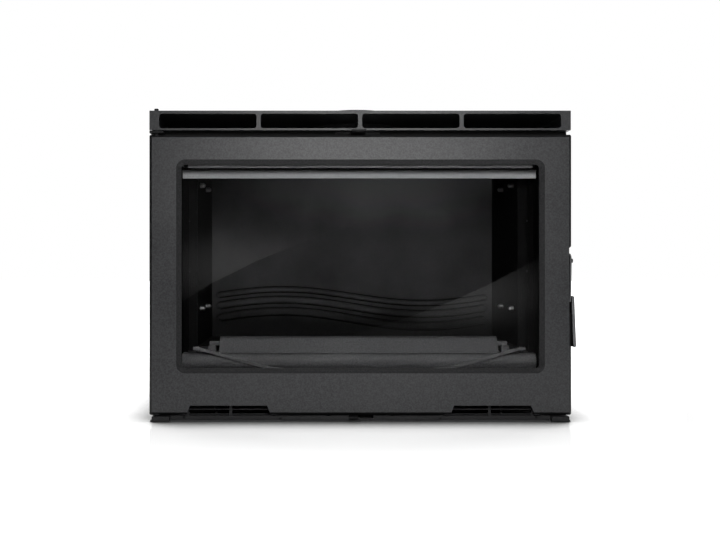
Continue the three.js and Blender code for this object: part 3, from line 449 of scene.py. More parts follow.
@dataclass(frozen=True)
class EdgeWearAndHighlight:
    """The edges where paint thins, which the finishes make lighter as worn paint and as a painted
    highlight, broken up by noise.
    """

    samples: int = 4
    turn_span: Pair = (0.997, 0.95)
    noise_scale: float = 260.0
    noise_span: Pair = (0.35, 0.6)
    noise_share: Pair = (0.35, 1.0)

    def build(self) -> bpy.types.NodeTree:
        """Builds the group.

        Returns:
            The group, with the output Edge.
        """
        group = Group("edge_wear_and_highlight", {"Radius": 0.0012}, ("Edge",))
        rounded = group.add("ShaderNodeBevel", samples=self.samples)
        group.link(group.taken("Radius"), rounded.inputs["Radius"])
        flat = group.add("ShaderNodeNewGeometry").outputs["Normal"]
        turn = group.vector_math("DOT_PRODUCT", rounded.outputs["Normal"], flat)
        edge = group.span(turn.outputs["Value"], self.turn_span)
        noise = group.noise(group.taken("Vector"), self.noise_scale)
        broken = group.span(noise, self.noise_span, self.noise_share)
        return group.give(edge=group.math("MULTIPLY", edge, broken, clamp=True))


@dataclass(frozen=True)
class CreviceSootAndShade:
    """Painted shade with sooting and dust: the grooves and inner corners, found by ambient
    occlusion.
    """

    samples: int = 6
    open_span: Pair = (0.95, 0.45)
    noise_scale: float = 120.0
    noise_span: Pair = (0.3, 0.6)
    noise_share: Pair = (0.6, 1.0)

    def build(self) -> bpy.types.NodeTree:
        """Builds the group.

        Returns:
            The group, with the output Depth.
        """
        group = Group("crevice_soot_and_shade", {"Reach": 0.006}, ("Depth",))
        openness = group.add(
            "ShaderNodeAmbientOcclusion", samples=self.samples, only_local=True
        )
        group.link(group.taken("Reach"), openness.inputs["Distance"])
        closed = group.span(openness.outputs["AO"], self.open_span)
        noise = group.noise(group.taken("Vector"), self.noise_scale)
        broken = group.span(noise, self.noise_span, self.noise_share)
        return group.give(depth=group.math("MULTIPLY", closed, broken, clamp=True))


@dataclass(frozen=True)
class Brushed:
    """Fine parallel scratches along Z, for drawn and brushed steel."""

    stretch: Point = (1.0, 1.0, 0.02)
    streak_span: Pair = (0.3, 0.7)

    def build(self) -> bpy.types.NodeTree:
        """Builds the group.

        Returns:
            The group, with outputs Height and Streak.
        """
        group = Group("brushed", {"Scale": 1400.0}, ("Height", "Streak"))
        stretched = group.vector_math("MULTIPLY", group.taken("Vector"), self.stretch)
        noise = group.noise(stretched.outputs["Vector"], group.taken("Scale"))
        return group.give(height=noise, streak=group.span(noise, self.streak_span))


class Effects:
    """The shared node groups, each built once."""

    def __init__(self) -> None:
        """Builds the groups."""
        self.grain = CastGrain().build()
        self.wear_and_highlight = EdgeWearAndHighlight().build()
        self.crevice_soot_and_shade = CreviceSootAndShade().build()
        self.brushed = Brushed().build()

    @staticmethod
    def place(graph: Graph, group: bpy.types.NodeTree, **values: float) -> Node:
        """Puts a group into a material, on Object coordinates.

        Args:
            graph: The material's graph.
            group: The group to place.
            **values: Numbers for its inputs, by name.

        Returns:
            The group node.
        """
        node = graph.add("ShaderNodeGroup", node_tree=group)
        graph.link(graph.coordinates(), node.inputs["Vector"])
        for name, value in values.items():
            node.inputs[name.capitalize()].default_value = value
        return node


def start_material(name: str) -> tuple[bpy.types.Material, Graph, Node]:
    """Makes a material with a lone Principled shader.

    Args:
        name: The material's name.

    Returns:
        The material, its graph and the shader node.
    """
    material = bpy.data.materials.new(name)
    material.use_nodes = True
    graph = Graph(material.node_tree)
    return material, graph, material.node_tree.nodes["Principled BSDF"]


# ------------------------------------------------------------------ finishes
#
# Tones are factors on the finish's own colour. Reliefs are in millimetres, other lengths in metres.


@dataclass(frozen=True)
class CastPaint:
    """Matt heat-proof paint over a sand casting, thinner on its edges, which are lighter as worn
    paint and as a painted highlight. Grooves and inner corners are darker as painted shade with
    sooting and dust.

    Where two heights are given, it turns dark from the first to the second, as painted shadow
    together with smoke.
    """

    name: str
    colour: Colour
    roughness: float
    specular: float
    scale: float
    depth: float = 0.16
    speckle: float = 0.22
    edge_wear_and_highlight_lift: float = 0.35
    pinholes: float = 0.55
    smoke_and_shadow_band: Pair | None = None
    patch_share: float = 0.25
    patch_tone: float = 0.7
    hole_tone: float = 0.15
    crevice_shade_tone: float = 0.4
    crevice_shade_reach: float = 0.004
    smoke_and_shadow_tone: float = 0.05
    edge_wear_and_highlight_tone: float = 3.0
    roughness_spread: Pair = (0.05, 0.07)
    relief: float = 0.4

    def build(self, effects: Effects) -> bpy.types.Material:
        """Builds the material.

        Args:
            effects: The shared node groups.

        Returns:
            The material.
        """
        material, graph, shader = start_material(self.name)
        grain = effects.place(graph, effects.grain, scale=self.scale).outputs
        wear_and_highlight = effects.place(graph, effects.wear_and_highlight).outputs
        crevice_soot_and_shade = effects.place(graph, effects.crevice_soot_and_shade, reach=self.crevice_shade_reach).outputs
        tones = (1.0 - self.speckle, 1.0 + self.speckle)
        patch, hole = scaled(self.colour, self.patch_tone), scaled(self.colour, self.hole_tone)
        skin = graph.shades(grain["Speckle"], self.colour, tones)
        skin = graph.stain(skin, patch, grain["Patch"], self.patch_share)
        skin = graph.stain(skin, hole, grain["Pinhole"], self.pinholes)
        # Grooves and inner corners darker: painted shade, with sooting and dust.
        skin = graph.blend(crevice_soot_and_shade["Depth"], skin, scaled(self.colour, self.crevice_shade_tone))
        # Darker higher up, from the first given height to the second: painted shadow, together with
        # smoke.
        if self.smoke_and_shadow_band:
            smoke_and_shadow_mask = graph.span(graph.height_of(graph.coordinates()), self.smoke_and_shadow_band)
            skin = graph.blend(smoke_and_shadow_mask, skin, scaled(self.colour, self.smoke_and_shadow_tone))
        # Lighter edges: worn paint and a painted highlight.
        bright = scaled(self.colour, self.edge_wear_and_highlight_tone)
        skin = graph.stain(skin, bright, wear_and_highlight["Edge"], self.edge_wear_and_highlight_lift)
        graph.link(skin, shader.inputs["Base Color"])
        graph.vary_roughness(shader, grain["Patch"], self.roughness, self.roughness_spread)
        shader.inputs["Specular IOR Level"].default_value = self.specular
        graph.bump(shader, grain["Height"], self.depth, self.relief)
        return material


@dataclass(frozen=True)
class SheetPaint:
    """Black paint on folded sheet steel, nearly smooth."""

    name: str
    colour: Colour
    roughness: float = 0.45
    specular: float = 0.4
    scale: float = 420.0
    tones: Pair = (0.85, 1.15)
    wear_and_highlight_radius: float = 0.0008
    edge_wear_and_highlight_lift: float = 0.25
    edge_wear_and_highlight_tone: float = 3.0
    roughness_spread: Pair = (0.06, 0.08)
    depth: float = 0.06
    relief: float = 0.2

    def build(self, effects: Effects) -> bpy.types.Material:
        """Builds the material.

        Args:
            effects: The shared node groups.

        Returns:
            The material.
        """
        material, graph, shader = start_material(self.name)
        grain = effects.place(graph, effects.grain, scale=self.scale).outputs
        wear_and_highlight = effects.place(graph, effects.wear_and_highlight, radius=self.wear_and_highlight_radius).outputs
        skin = graph.shades(grain["Patch"], self.colour, self.tones)
        # Lighter edges: worn paint and a painted highlight.
        bright = scaled(self.colour, self.edge_wear_and_highlight_tone)
        skin = graph.stain(skin, bright, wear_and_highlight["Edge"], self.edge_wear_and_highlight_lift)
        graph.link(skin, shader.inputs["Base Color"])
        graph.vary_roughness(shader, grain["Patch"], self.roughness, self.roughness_spread)
        shader.inputs["Specular IOR Level"].default_value = self.specular
        graph.bump(shader, grain["Height"], self.depth, self.relief)
        return material


@dataclass(frozen=True)
class LiningPlate:
    """Matt lining with a rough skin and soft sooted patches, darker in grooves and inner corners as
    painted shade with sooting.

    Below a height it turns darker, as sooting and painted shade. Where a glow colour is given, it
    turns lighter round a point, as burnt-off sooting and a painted glow.
    """

    name: str
    colour: Colour
    soot_and_shade_colour: Colour
    roughness: float = 0.78
    specular: float = 0.15
    soot_and_shade_line: float = 0.0
    soot_and_shade_fade: float = 0.028
    burn_and_glow_colour: Colour | None = None
    burn_and_glow_at: Point = (0.06, 0.0, 0.43)
    burn_and_glow_weights: Point = (1.0, 0.0, 3.2)
    burn_and_glow_reach: Pair = (0.02, 0.38)
    burn_and_glow_raggedness: float = 0.04
    scale: float = 520.0
    tones: Pair = (0.85, 1.15)
    patch_share: float = 0.55
    crevice_shade_tone: float = 0.3
    crevice_shade_reach: float = 0.007
    roughness_spread: Pair = (0.08, 0.1)
    depth: float = 0.25
    relief: float = 0.5

    def build(self, effects: Effects) -> bpy.types.Material:
        """Builds the material.

        Args:
            effects: The shared node groups.

        Returns:
            The material.
        """
        material, graph, shader = start_material(self.name)
        grain = effects.place(graph, effects.grain, scale=self.scale).outputs
        place = graph.coordinates()
        # Darker below the line: sooting and painted shade.
        line = (self.soot_and_shade_line - self.soot_and_shade_fade, self.soot_and_shade_line + self.soot_and_shade_fade)
        soot_and_shade_low = graph.span(graph.height_of(place), line, FALLING)
        patches = graph.math("MULTIPLY", grain["Patch"], self.patch_share)
        soot_and_shade_mask = graph.math("ADD", patches, soot_and_shade_low, clamp=True)
        skin = graph.shades(grain["Speckle"], self.colour, self.tones)
        skin = graph.blend(soot_and_shade_mask, skin, self.soot_and_shade_colour)
        # Lighter round a point near the top: burnt-off sooting and a painted glow.
        if self.burn_and_glow_colour:
            far = graph.distance(place, self.burn_and_glow_at, self.burn_and_glow_weights)
            uneven = graph.math("MULTIPLY", grain["Patch"], self.burn_and_glow_raggedness)
            ragged = graph.math("ADD", far, uneven)
            burn_and_glow_mask = graph.span(ragged, self.burn_and_glow_reach, FALLING, soft=True)
            skin = graph.blend(burn_and_glow_mask, skin, self.burn_and_glow_colour)
        # Grooves and inner corners darker: painted shade, with sooting.
        crevice_soot_and_shade = effects.place(graph, effects.crevice_soot_and_shade, reach=self.crevice_shade_reach).outputs
        skin = graph.blend(crevice_soot_and_shade["Depth"], skin, scaled(self.soot_and_shade_colour, self.crevice_shade_tone))
        graph.link(skin, shader.inputs["Base Color"])
        graph.vary_roughness(shader, grain["Speckle"], self.roughness, self.roughness_spread)
        shader.inputs["Specular IOR Level"].default_value = self.specular
        graph.bump(shader, grain["Height"], self.depth, self.relief)
        return material


@dataclass(frozen=True)
class BareSteel:
    """Bare steel with fine drawn scratches."""

    name: str
    colour: Colour
    roughness: float = 0.32
    metallic: float = 1.0
    tones: Pair = (0.82, 1.1)
    roughness_spread: Pair = (0.07, 0.09)
    depth: float = 0.12
    relief: float = 0.05

    def build(self, effects: Effects) -> bpy.types.Material:
        """Builds the material.

        Args:
            effects: The shared node groups.

        Returns:
            The material.
        """
        material, graph, shader = start_material(self.name)
        brushed = effects.place(graph, effects.brushed).outputs
        skin = graph.shades(brushed["Streak"], self.colour, self.tones)
        graph.link(skin, shader.inputs["Base Color"])
        graph.vary_roughness(shader, brushed["Streak"], self.roughness, self.roughness_spread)
        shader.inputs["Metallic"].default_value = self.metallic
        graph.bump(shader, brushed["Height"], self.depth, self.relief)
        return material


@dataclass(frozen=True)
class KnitSeal:
    """Knitted glass fibre, as slanted stitches in a rope or tape."""

    name: str
    colour: Colour
    wave_scale: float = 126.0
    wave_distortion: float = 1.4
    wave_detail: float = 1.0
    slant: Point = (35.0, 35.0, 45.0)
    tones: Pair = (0.55, 1.15)
    fuzz_scale: float = 1500.0
    fuzz_share: float = 0.2
    fuzz_tone: float = 1.5
    roughness: float = 0.95
    sheen: float = 0.2
    depth: float = 0.6
    relief: float = 0.6

    def build(self, effects: Effects) -> bpy.types.Material:
        """Builds the material.

        Args:
            effects: The shared node groups.

        Returns:
            The material.
        """
        material, graph, shader = start_material(self.name)
        slant = graph.add("ShaderNodeMapping")
        slant.inputs["Rotation"].default_value = [math.radians(turn) for turn in self.slant]
        graph.link(graph.coordinates(), slant.inputs["Vector"])
        wave = graph.add("ShaderNodeTexWave", wave_type="BANDS", bands_direction="X")
        wave.inputs["Scale"].default_value = self.wave_scale
        wave.inputs["Distortion"].default_value = self.wave_distortion
        wave.inputs["Detail"].default_value = self.wave_detail
        graph.link(slant.outputs["Vector"], wave.inputs["Vector"])
        grain = effects.place(graph, effects.grain, scale=self.fuzz_scale).outputs
        skin = graph.shades(wave.outputs["Fac"], self.colour, self.tones)
        fuzz = scaled(self.colour, self.fuzz_tone)
        skin = graph.stain(skin, fuzz, grain["Speckle"], self.fuzz_share)
        graph.link(skin, shader.inputs["Base Color"])
        shader.inputs["Roughness"].default_value = self.roughness
        shader.inputs["Sheen Weight"].default_value = self.sheen
        graph.bump(shader, wave.outputs["Fac"], self.depth, self.relief)
        return material


@dataclass(frozen=True)
class CeramicGlass:
    """Polished ceramic glass that lets lamps through to the fire chamber."""

    name: str
    colour: Colour
    roughness: float = 0.0
    ior: float = 1.5
    film_scale: float = 30.0
    film_share: float = 0.3
    film_tone: float = 0.96
    shadow_tone: float = 0.92

    def build(self, effects: Effects) -> bpy.types.Material:
        """Builds the material.

        Args:
            effects: The shared node groups.

        Returns:
            The material.
        """
        material, graph, shader = start_material(self.name)
        grain = effects.place(graph, effects.grain, scale=self.film_scale).outputs
        film = scaled(self.colour, self.film_tone)
        skin = graph.stain(self.colour, film, grain["Patch"], self.film_share)
        graph.link(skin, shader.inputs["Base Color"])
        shader.inputs["Roughness"].default_value = self.roughness
        shader.inputs["IOR"].default_value = self.ior
        shader.inputs["Transmission Weight"].default_value = 1.0
        path = graph.add("ShaderNodeLightPath")
        clear = graph.add("ShaderNodeBsdfTransparent")
        clear.inputs["Color"].default_value = (*scaled(self.colour, self.shadow_tone), 1.0)
        graph.show_either(
            path.outputs["Is Shadow Ray"], shader.outputs["BSDF"], clear.outputs["BSDF"]
        )
        return material


Finish = CastPaint | SheetPaint | LiningPlate | BareSteel | KnitSeal | CeramicGlass


class Look(Enum):
    """The finishes that pieces can wear."""

    FRONT_CAST = "front_cast"
    PLINTH_CAST = "plinth_cast"
    HINGE = "hinge"
    ARM = "arm"
    CLAMP = "clamp"
    INNER_CAST = "inner_cast"
    BED_CAST = "bed_cast"
    DEFLECTOR = "deflector"
    GUARD_CAST = "guard_cast"
    FIREBACK = "fireback"
    LINING = "lining"
    SHEET = "sheet"
    CHAMBER = "chamber"
    FRAME = "frame"
    STEEL = "steel"
    DARK_STEEL = "dark_steel"
    GRIP = "grip"
    NUT = "nut"
    GLASS = "glass"
    SEAL = "seal"
    GASKET = "gasket"


COATS: dict[Look, tuple[Slot, Finish]] = {
    Look.FRONT_CAST: (
        Slot.CAST_FRONT,
        CastPaint(
            "front_cast_paint", (0.0222, 0.0226, 0.0241), 0.37, 0.42, 430.0,
            speckle=0.48, edge_wear_and_highlight_lift=0.6,
        ),
    ),
    Look.PLINTH_CAST: (
        Slot.CAST_FRONT,
        CastPaint("plinth_cast_paint", (0.015, 0.015, 0.0157), 0.55, 0.2, 380.0, speckle=0.4),
    ),
    Look.HINGE: (
        Slot.DARK_STEEL,
        CastPaint("hinge_paint", (0.009, 0.009, 0.0095), 0.6, 0.1, 500.0, edge_wear_and_highlight_lift=0.2),
    ),
    Look.ARM: (
        Slot.DARK_STEEL,
        CastPaint("handle_arm_paint", (0.075, 0.0755, 0.078), 0.42, 0.4, 500.0, depth=0.06),
    ),
    Look.CLAMP: (
        Slot.STEEL,
        CastPaint("clamp_paint", (0.062, 0.062, 0.0633), 0.55, 0.25, 500.0, depth=0.08),
    ),
    Look.INNER_CAST: (
        Slot.CAST_INNER,
        CastPaint("inner_cast_paint", (0.03, 0.03, 0.031), 0.58, 0.35, 500.0),
    ),
    Look.GUARD_CAST: (
        Slot.CAST_INNER,
        CastPaint("guard_cast_paint", (0.037, 0.037, 0.0384), 0.56, 0.4, 500.0, speckle=0.45),
    ),
    # The fire bed is near black as sooting, and as painted shade over its front.
    Look.BED_CAST: (
        Slot.CAST_INNER,
        CastPaint("sooted_and_shaded_bed_cast", (0.006, 0.006, 0.0061), 0.8, 0.08, 500.0),
    ),
    # The deflector's top, from 0.413 m up, is darkened as painted shadow cast by the window's top
    # edge, together with smoke.
    Look.DEFLECTOR: (
        Slot.CAST_INNER,
        CastPaint(
            "deflector_paint", (0.265, 0.265, 0.27), 0.6, 0.25, 500.0,
            speckle=0.12, pinholes=0.0, smoke_and_shadow_band=(0.413, 0.421),
        ),
    ),
    # The fireback is darker below 0.158 m as sooting and painted shade, and lighter round a point
    # near its top as burnt-off sooting and a painted glow.
    Look.FIREBACK: (
        Slot.CAST_INNER,
        LiningPlate(
            "fireback_plate", (0.034, 0.034, 0.0346), (0.002, 0.002, 0.002),
            soot_and_shade_line=0.158, burn_and_glow_colour=(0.19, 0.19, 0.193),
        ),
    ),
    Look.LINING: (
        Slot.LINING,
        LiningPlate("lining_plate", (0.004, 0.004, 0.004), (0.002, 0.002, 0.002), specular=0.04),
    ),
    Look.SHEET: (Slot.SHEET, SheetPaint("black_sheet_paint", (0.024, 0.024, 0.025))),
    Look.CHAMBER: (Slot.SHEET, SheetPaint("chamber_sheet", (0.002, 0.002, 0.002), 0.9, 0.02)),
    # The front frame, seen only through the gaps round the door, is near black as painted shade.
    Look.FRAME: (Slot.SHEET, SheetPaint("front_frame_painted_shade", (0.005, 0.005, 0.005), 0.75, 0.08)),
    Look.STEEL: (Slot.STEEL, BareSteel("plain_bare_steel", (0.42, 0.42, 0.43))),
    Look.DARK_STEEL: (
        Slot.DARK_STEEL,
        BareSteel("dark_bare_steel", (0.09, 0.09, 0.092), roughness=0.42, metallic=0.8),
    ),
    Look.GRIP: (Slot.GRIP, BareSteel("polished_grip_steel", (0.3, 0.3, 0.31), roughness=0.3)),
    Look.NUT: (Slot.NUT, BareSteel("cap_nut_steel", (0.3, 0.3, 0.3), roughness=0.34)),
    Look.GLASS: (Slot.GLASS, CeramicGlass("ceramic_glass", (0.925, 0.928, 0.93))),
    Look.SEAL: (Slot.SEAL, KnitSeal("knit_seal", (0.17, 0.165, 0.15))),
    Look.GASKET: (Slot.SEAL, KnitSeal("gasket_tape", (0.02, 0.02, 0.02))),
}


class Palette:
    """Builds each finish's material on first use and keeps it."""

    def __init__(self) -> None:
        """Starts an empty palette."""
        self.effects = Effects()
        self.built: dict[Look, bpy.types.Material] = {}

    def material(self, look: Look) -> bpy.types.Material:
        """Gives a look's material.

        Args:
            look: The finish wanted.

        Returns:
            Its material.
        """
        if look not in self.built:
            finish = COATS[look][1]
            self.built[look] = finish.build(self.effects)
        return self.built[look]


# ------------------------------------------------------------------ meshes

MERGE_DISTANCE = 0.004 * MM
SLIVER_LENGTH = 0.002 * MM
FLAT_TURN = 0.4  # degrees between faces that count as one


def to_object(name: str, shape: Shape, smooth_angle: float = 32.0) -> bpy.types.Object:
    """Turns a bmesh into an object at the origin, smooth up to an angle.

    Args:
        name: The piece's name.
        shape: The bmesh, which is freed.
        smooth_angle: Edges sharper than this many degrees stay crisp.

    Returns:
        The object, linked into the scene.
    """
    mesh = bpy.data.meshes.new(name)
    shape.to_mesh(mesh)
    shape.free()
    mesh.shade_smooth()
    mesh.set_sharp_from_angle(angle=math.radians(smooth_angle))
    obj = bpy.data.objects.new(name, mesh)
    bpy.context.scene.collection.objects.link(obj)
    return obj


def round_edges(shape: Shape, width: float, segments: int = 2, angle: float = 28.0) -> None:
    """Rounds the edges of a closed shape that turn by more than an angle.

    Args:
        shape: The bmesh to change.
        width: Rounding width in millimetres.
        segments: Facets across the rounding.
        angle: Least turn in degrees of an edge that is rounded.
    """
    limit = math.radians(angle)
    sharp = [edge for edge in shape.edges if edge.is_manifold and edge.calc_face_angle(0.0) > limit]
    bmesh.ops.bevel(
        shape,
        geom=sharp,
        offset=width * MM,
        offset_type="OFFSET",
        affect="EDGES",
        segments=segments,
        profile=0.5,
        material=-1,
        clamp_overlap=True,
        loop_slide=True,
    )
    bmesh.ops.dissolve_degenerate(shape, dist=SLIVER_LENGTH, edges=shape.edges)


def merged_copy(node: str) -> Shape:
    """Copies a CAD node's mesh with its doubles merged and its flat faces joined.

    Args:
        node: The CAD node's name.

    Returns:
        The copy as a bmesh.
    """
    shape = bmesh.new()
    shape.from_mesh(frame["nodes"][node].data)
    bmesh.ops.remove_doubles(shape, verts=shape.verts, dist=MERGE_DISTANCE)
    bmesh.ops.dissolve_limit(
        shape,
        angle_limit=math.radians(FLAT_TURN),
        verts=shape.verts,
        edges=shape.edges,
        use_dissolve_boundaries=False,
    )
    return shape


def add_cylinder(shape: Shape, sides: int, radius: float, length: float, middle: float) -> None:
    """Adds a closed upright cylinder or prism to a shape.

    Args:
        shape: The bmesh that gets it.
        sides: Its number of sides.
        radius: Its radius, to the corners.
        length: Its length along Z.
        middle: The height of its middle.
    """
    bmesh.ops.create_cone(
        shape,
        cap_ends=True,
        segments=sides,
        radius1=radius,
        radius2=radius,
        depth=length,
        matrix=Matrix.Translation((0, 0, middle)),
    )


def verts_in(geometry: Iterable[object]) -> list[bmesh.types.BMVert]:
    """Returns the vertices among an operator's results."""
    return [item for item in geometry if isinstance(item, bmesh.types.BMVert)]


def edges_in(geometry: Iterable[object]) -> list[bmesh.types.BMEdge]:
    """Returns the edges among an operator's results."""
    return [item for item in geometry if isinstance(item, bmesh.types.BMEdge)]


def facing(direction: Point, at: Point) -> Matrix:
    """Returns the matrix that turns +Z to a direction and moves the origin to a point."""
    turn = Vector(direction).to_track_quat("Z", "Y").to_matrix().to_4x4()
    return Matrix.Translation(at) @ turn


def moved(shape: Shape, spot: Matrix) -> Shape:
    """Moves a whole shape by a matrix and returns it."""
    bmesh.ops.transform(shape, matrix=spot, verts=shape.verts)
    return shape


def row_of(head: Shape, spots: Iterable[Matrix]) -> Shape:
    """Copies one head to several places, as a single shape.

    Args:
        head: The head, which is freed.
        spots: A matrix for each copy.

    Returns:
        All the copies.
    """
    pattern = bpy.data.meshes.new("pattern")
    head.to_mesh(pattern)
    head.free()
    row = bmesh.new()
    for spot in spots:
        known = len(row.verts)
        row.from_mesh(pattern)
        row.verts.ensure_lookup_table()
        bmesh.ops.transform(row, matrix=spot, verts=row.verts[known:])
    bpy.data.meshes.remove(pattern)
    return row


@dataclass(frozen=True)
class ScrewHead:
    """A round screw head with a socket, in millimetres."""

    radius: float
    height: float
    rounding: float
    socket_radius: float
    socket_depth: float
    sides: int = 24

    def build(self) -> Shape:
        """Makes the head, standing on Z = 0 and facing +Z.

        Returns:
            The head.
        """
        radius, height, rounding = self.radius * MM, self.height * MM, self.rounding * MM
        shape = bmesh.new()
        add_cylinder(shape, self.sides, radius, height, height / 2)
        near_top = height * 0.9
        rim = [edge for edge in shape.edges if all(vert.co.z > near_top for vert in edge.verts)]
        bmesh.ops.bevel(
            shape, geom=rim, offset=rounding, affect="EDGES", segments=3, profile=0.5, material=-1
        )
        top = max(shape.faces, key=lambda face: (face.calc_center_median().z, face.calc_area()))
        ledge = radius - rounding - self.socket_radius * MM
        bmesh.ops.inset_region(shape, faces=[top], thickness=ledge, use_even_offset=True)
        lowered = bmesh.ops.extrude_face_region(shape, geom=[top])["geom"]
        down = (0, 0, -self.socket_depth * MM)
        bmesh.ops.translate(shape, verts=verts_in(lowered), vec=down)
        bmesh.ops.delete(shape, geom=[top], context="FACES_ONLY")
        bmesh.ops.recalc_face_normals(shape, faces=shape.faces)
        return shape


@dataclass(frozen=True)
class BoltHead:
    """A hexagonal bolt head on a thin washer, in millimetres."""

    across: float
    height: float
    rounding: float
    washer: float = 1.2
    washer_share: float = 0.62
    washer_sides: int = 28
    sunk_share: float = 0.7

    def build(self) -> Shape:
        """Makes the head, standing on Z = 0 and facing +Z, the hexagon sunk into the washer.

        Returns:
            The head.
        """
        across, height, washer = self.across * MM, self.height * MM, self.washer * MM
        shape = bmesh.new()
        add_cylinder(shape, self.washer_sides, across * self.washer_share, washer, washer / 2)
        add_cylinder(shape, 6, across / 2, height, height / 2 + washer * self.sunk_share)
        round_edges(shape, self.rounding, angle=40.0)
        return shape


# ------------------------------------------------------------------ sub-assemblies
#
# Sizes are in metres, except roundings and the sizes of screws and bolts, which are in millimetres.


@dataclass(frozen=True)
class CadPiece:
    """A CAD node and how it is finished.

    A rounding makes a copy with rounded edges that stands for the node. Without one the node itself
    is shown.
    """

    node: str
    look: Look
    rounding: float = 0.0
    segments: int = 2


@dataclass
class Assembly:
    """A sub-assembly: its CAD nodes with their finishes, and the pieces added to them."""

    palette: Palette
    pieces: Sequence[CadPiece] = ()

    def build(self) -> None:
        """Dresses the CAD nodes, then adds the details."""
        for piece in self.pieces:
            self.dress(piece)
        self.add_details()

    def add_details(self) -> None:
        """Adds the pieces that the CAD nodes don't have."""

    def dress(self, piece: CadPiece) -> None:
        """Finishes one CAD node.

        Args:
            piece: The node and its finish.
        """
        source = frame["nodes"][piece.node]
        if piece.rounding > 0.0:
            shape = merged_copy(piece.node)
            round_edges(shape, piece.rounding, piece.segments)
            obj = to_object(f"{piece.node}_finished", shape, smooth_angle=60.0)
            weigh = obj.modifiers.new("weighted_normals", "WEIGHTED_NORMAL")
            weigh.keep_sharp = True
            self.place(obj, piece.look, Body(body_of(source)[0]), piece.node)
            return
        source.data.materials.clear()
        source.data.materials.append(self.palette.material(piece.look))
        log.info("node %s dressed in %s", piece.node, piece.look.value)

    def repaint(self, name: str, look: Look, chosen: Callable[[Face], bool]) -> None:
        """Gives some faces of a finished piece a second finish.

        Args:
            name: The piece's name.
            look: The second finish.
            chosen: Says which faces get it.
        """
        mesh = bpy.data.objects[name].data
        mesh.materials.append(self.palette.material(look))
        faces = [face for face in mesh.polygons if chosen(face)]
        for face in faces:
            face.material_index = len(mesh.materials) - 1
        log.info("piece %s: %d faces in %s", name, len(faces), look.value)

    def place(self, obj: bpy.types.Object, look: Look, body: Body, *stands_for: str) -> None:
        """Gives a new piece its finish and body.

        Args:
            obj: The piece.
            look: Its finish.
            body: The body it rides on.
            *stands_for: CAD nodes that the piece replaces.
        """
        obj.data.materials.clear()
        obj.data.materials.append(self.palette.material(look))
        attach(obj, body.value)
        if stands_for:
            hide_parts(*stands_for)
        count = len(obj.data.polygons)
        log.info("piece %s: %d faces, %s, rides on %s", obj.name, count, look.value, body.value)


@dataclass
class Door(Assembly):
    """Cast door frame, its glass with seal and clamps, and the rope that it closes on."""

    pieces: Sequence[CadPiece] = (
        CadPiece("door_frame", Look.FRONT_CAST, 0.5),
        CadPiece("door_glass", Look.GLASS),
        CadPiece("glass_gasket", Look.GASKET),
        CadPiece("glass_clamp_top", Look.CLAMP, 0.3),
        CadPiece("glass_clamp_bottom", Look.CLAMP, 0.3),
        CadPiece("door_rope", Look.SEAL),
    )
    screw: ScrewHead = ScrewHead(2.5, 1.5, 0.5, 1.2, 0.9)
    screw_spread: Sequence[float] = (-0.2, 0.0, 0.2)
    screw_edge: float = 3.1 * MM
    rim_width: float = 5.4 * MM
    slope_inset: float = 20 * MM
    slope_facing: Pair = (-0.85, 0.3)
    rope_sides: int = 20
    rope_bend: float = 1.05
    rope_bend_steps: int = 8
    rope_merge: float = 0.01 * MM

    def add_details(self) -> None:
        """Adds painted shade on the rim and on the slopes round the window, the round rope seal and
        the screws of the glass clamps.
        """
        low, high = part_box("door_frame")

        def inside(face: Face, margin: float) -> bool:
            """Says whether a face lies further in than a margin from the outline."""
            x, _, z = face.center
            return low.x + margin < x < high.x - margin and low.z + margin < z < high.z - margin

        def on_shaded_rim(face: Face) -> bool:
            """Says whether a face lies on the sloped border or the outer wall."""
            return not inside(face, self.rim_width)

        def on_shaded_slope(face: Face) -> bool:
            """Says whether a face lies on the slope round the window."""
            least, most = self.slope_facing
            return inside(face, self.slope_inset) and least < face.normal.y < most

        # The outer rim and the slope round the window get darker paint as painted shade.
        self.repaint("door_frame_finished", Look.HINGE, on_shaded_rim)
        self.repaint("door_frame_finished", Look.PLINTH_CAST, on_shaded_slope)
        self.rope()
        for node, at_top in (("glass_clamp_top", True), ("glass_clamp_bottom", False)):
            near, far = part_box(node)
            z = far.z - self.screw_edge if at_top else near.z + self.screw_edge
            spots = [facing((0, 1, 0), (x, far.y, z)) for x in self.screw_spread]
            row = row_of(self.screw.build(), spots)
            self.place(to_object(f"{node}_screws", row), Look.STEEL, Body.DOOR)

    def rope(self) -> None:
        """Replaces the CAD rope by a smooth one that bends round the corners."""
        low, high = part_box("door_rope")
        radius = (high.y - low.y) / 2
        bend = radius * self.rope_bend
        corner = Vector((low.x + radius + bend, (low.y + high.y) / 2, low.z + radius))
        shape = bmesh.new()
        start = facing((1, 0, 0), corner)
        bmesh.ops.create_circle(shape, segments=self.rope_sides, radius=radius, matrix=start)
        end = list(shape.edges)
        wide = high.x - low.x - 2 * (radius + bend)
        tall = high.z - low.z - 2 * (radius + bend)
        for along, length in (
            (Vector((1, 0, 0)), wide),
            (Vector((0, 0, 1)), tall),
            (Vector((-1, 0, 0)), wide),
            (Vector((0, 0, -1)), tall),
        ):
            rings = bmesh.ops.extrude_edge_only(shape, edges=edges_in(end))["geom"]
            bmesh.ops.translate(shape, verts=verts_in(rings), vec=along * length)
            corner = corner + along * length
            inward = Vector((-along.z, 0, along.x))
            end = bmesh.ops.spin(
                shape,
                geom=verts_in(rings) + edges_in(rings),
                cent=corner + inward * bend,
                axis=(0, -1, 0),
                angle=math.radians(90),
                steps=self.rope_bend_steps,
            )["geom_last"]
            corner = corner + along * bend + inward * bend
        bmesh.ops.remove_doubles(shape, verts=shape.verts, dist=self.rope_merge)
        bmesh.ops.recalc_face_normals(shape, faces=shape.faces)
        round_rope = to_object("door_rope_round", shape, smooth_angle=80.0)
        self.place(round_rope, Look.SEAL, Body.DOOR, "door_rope")


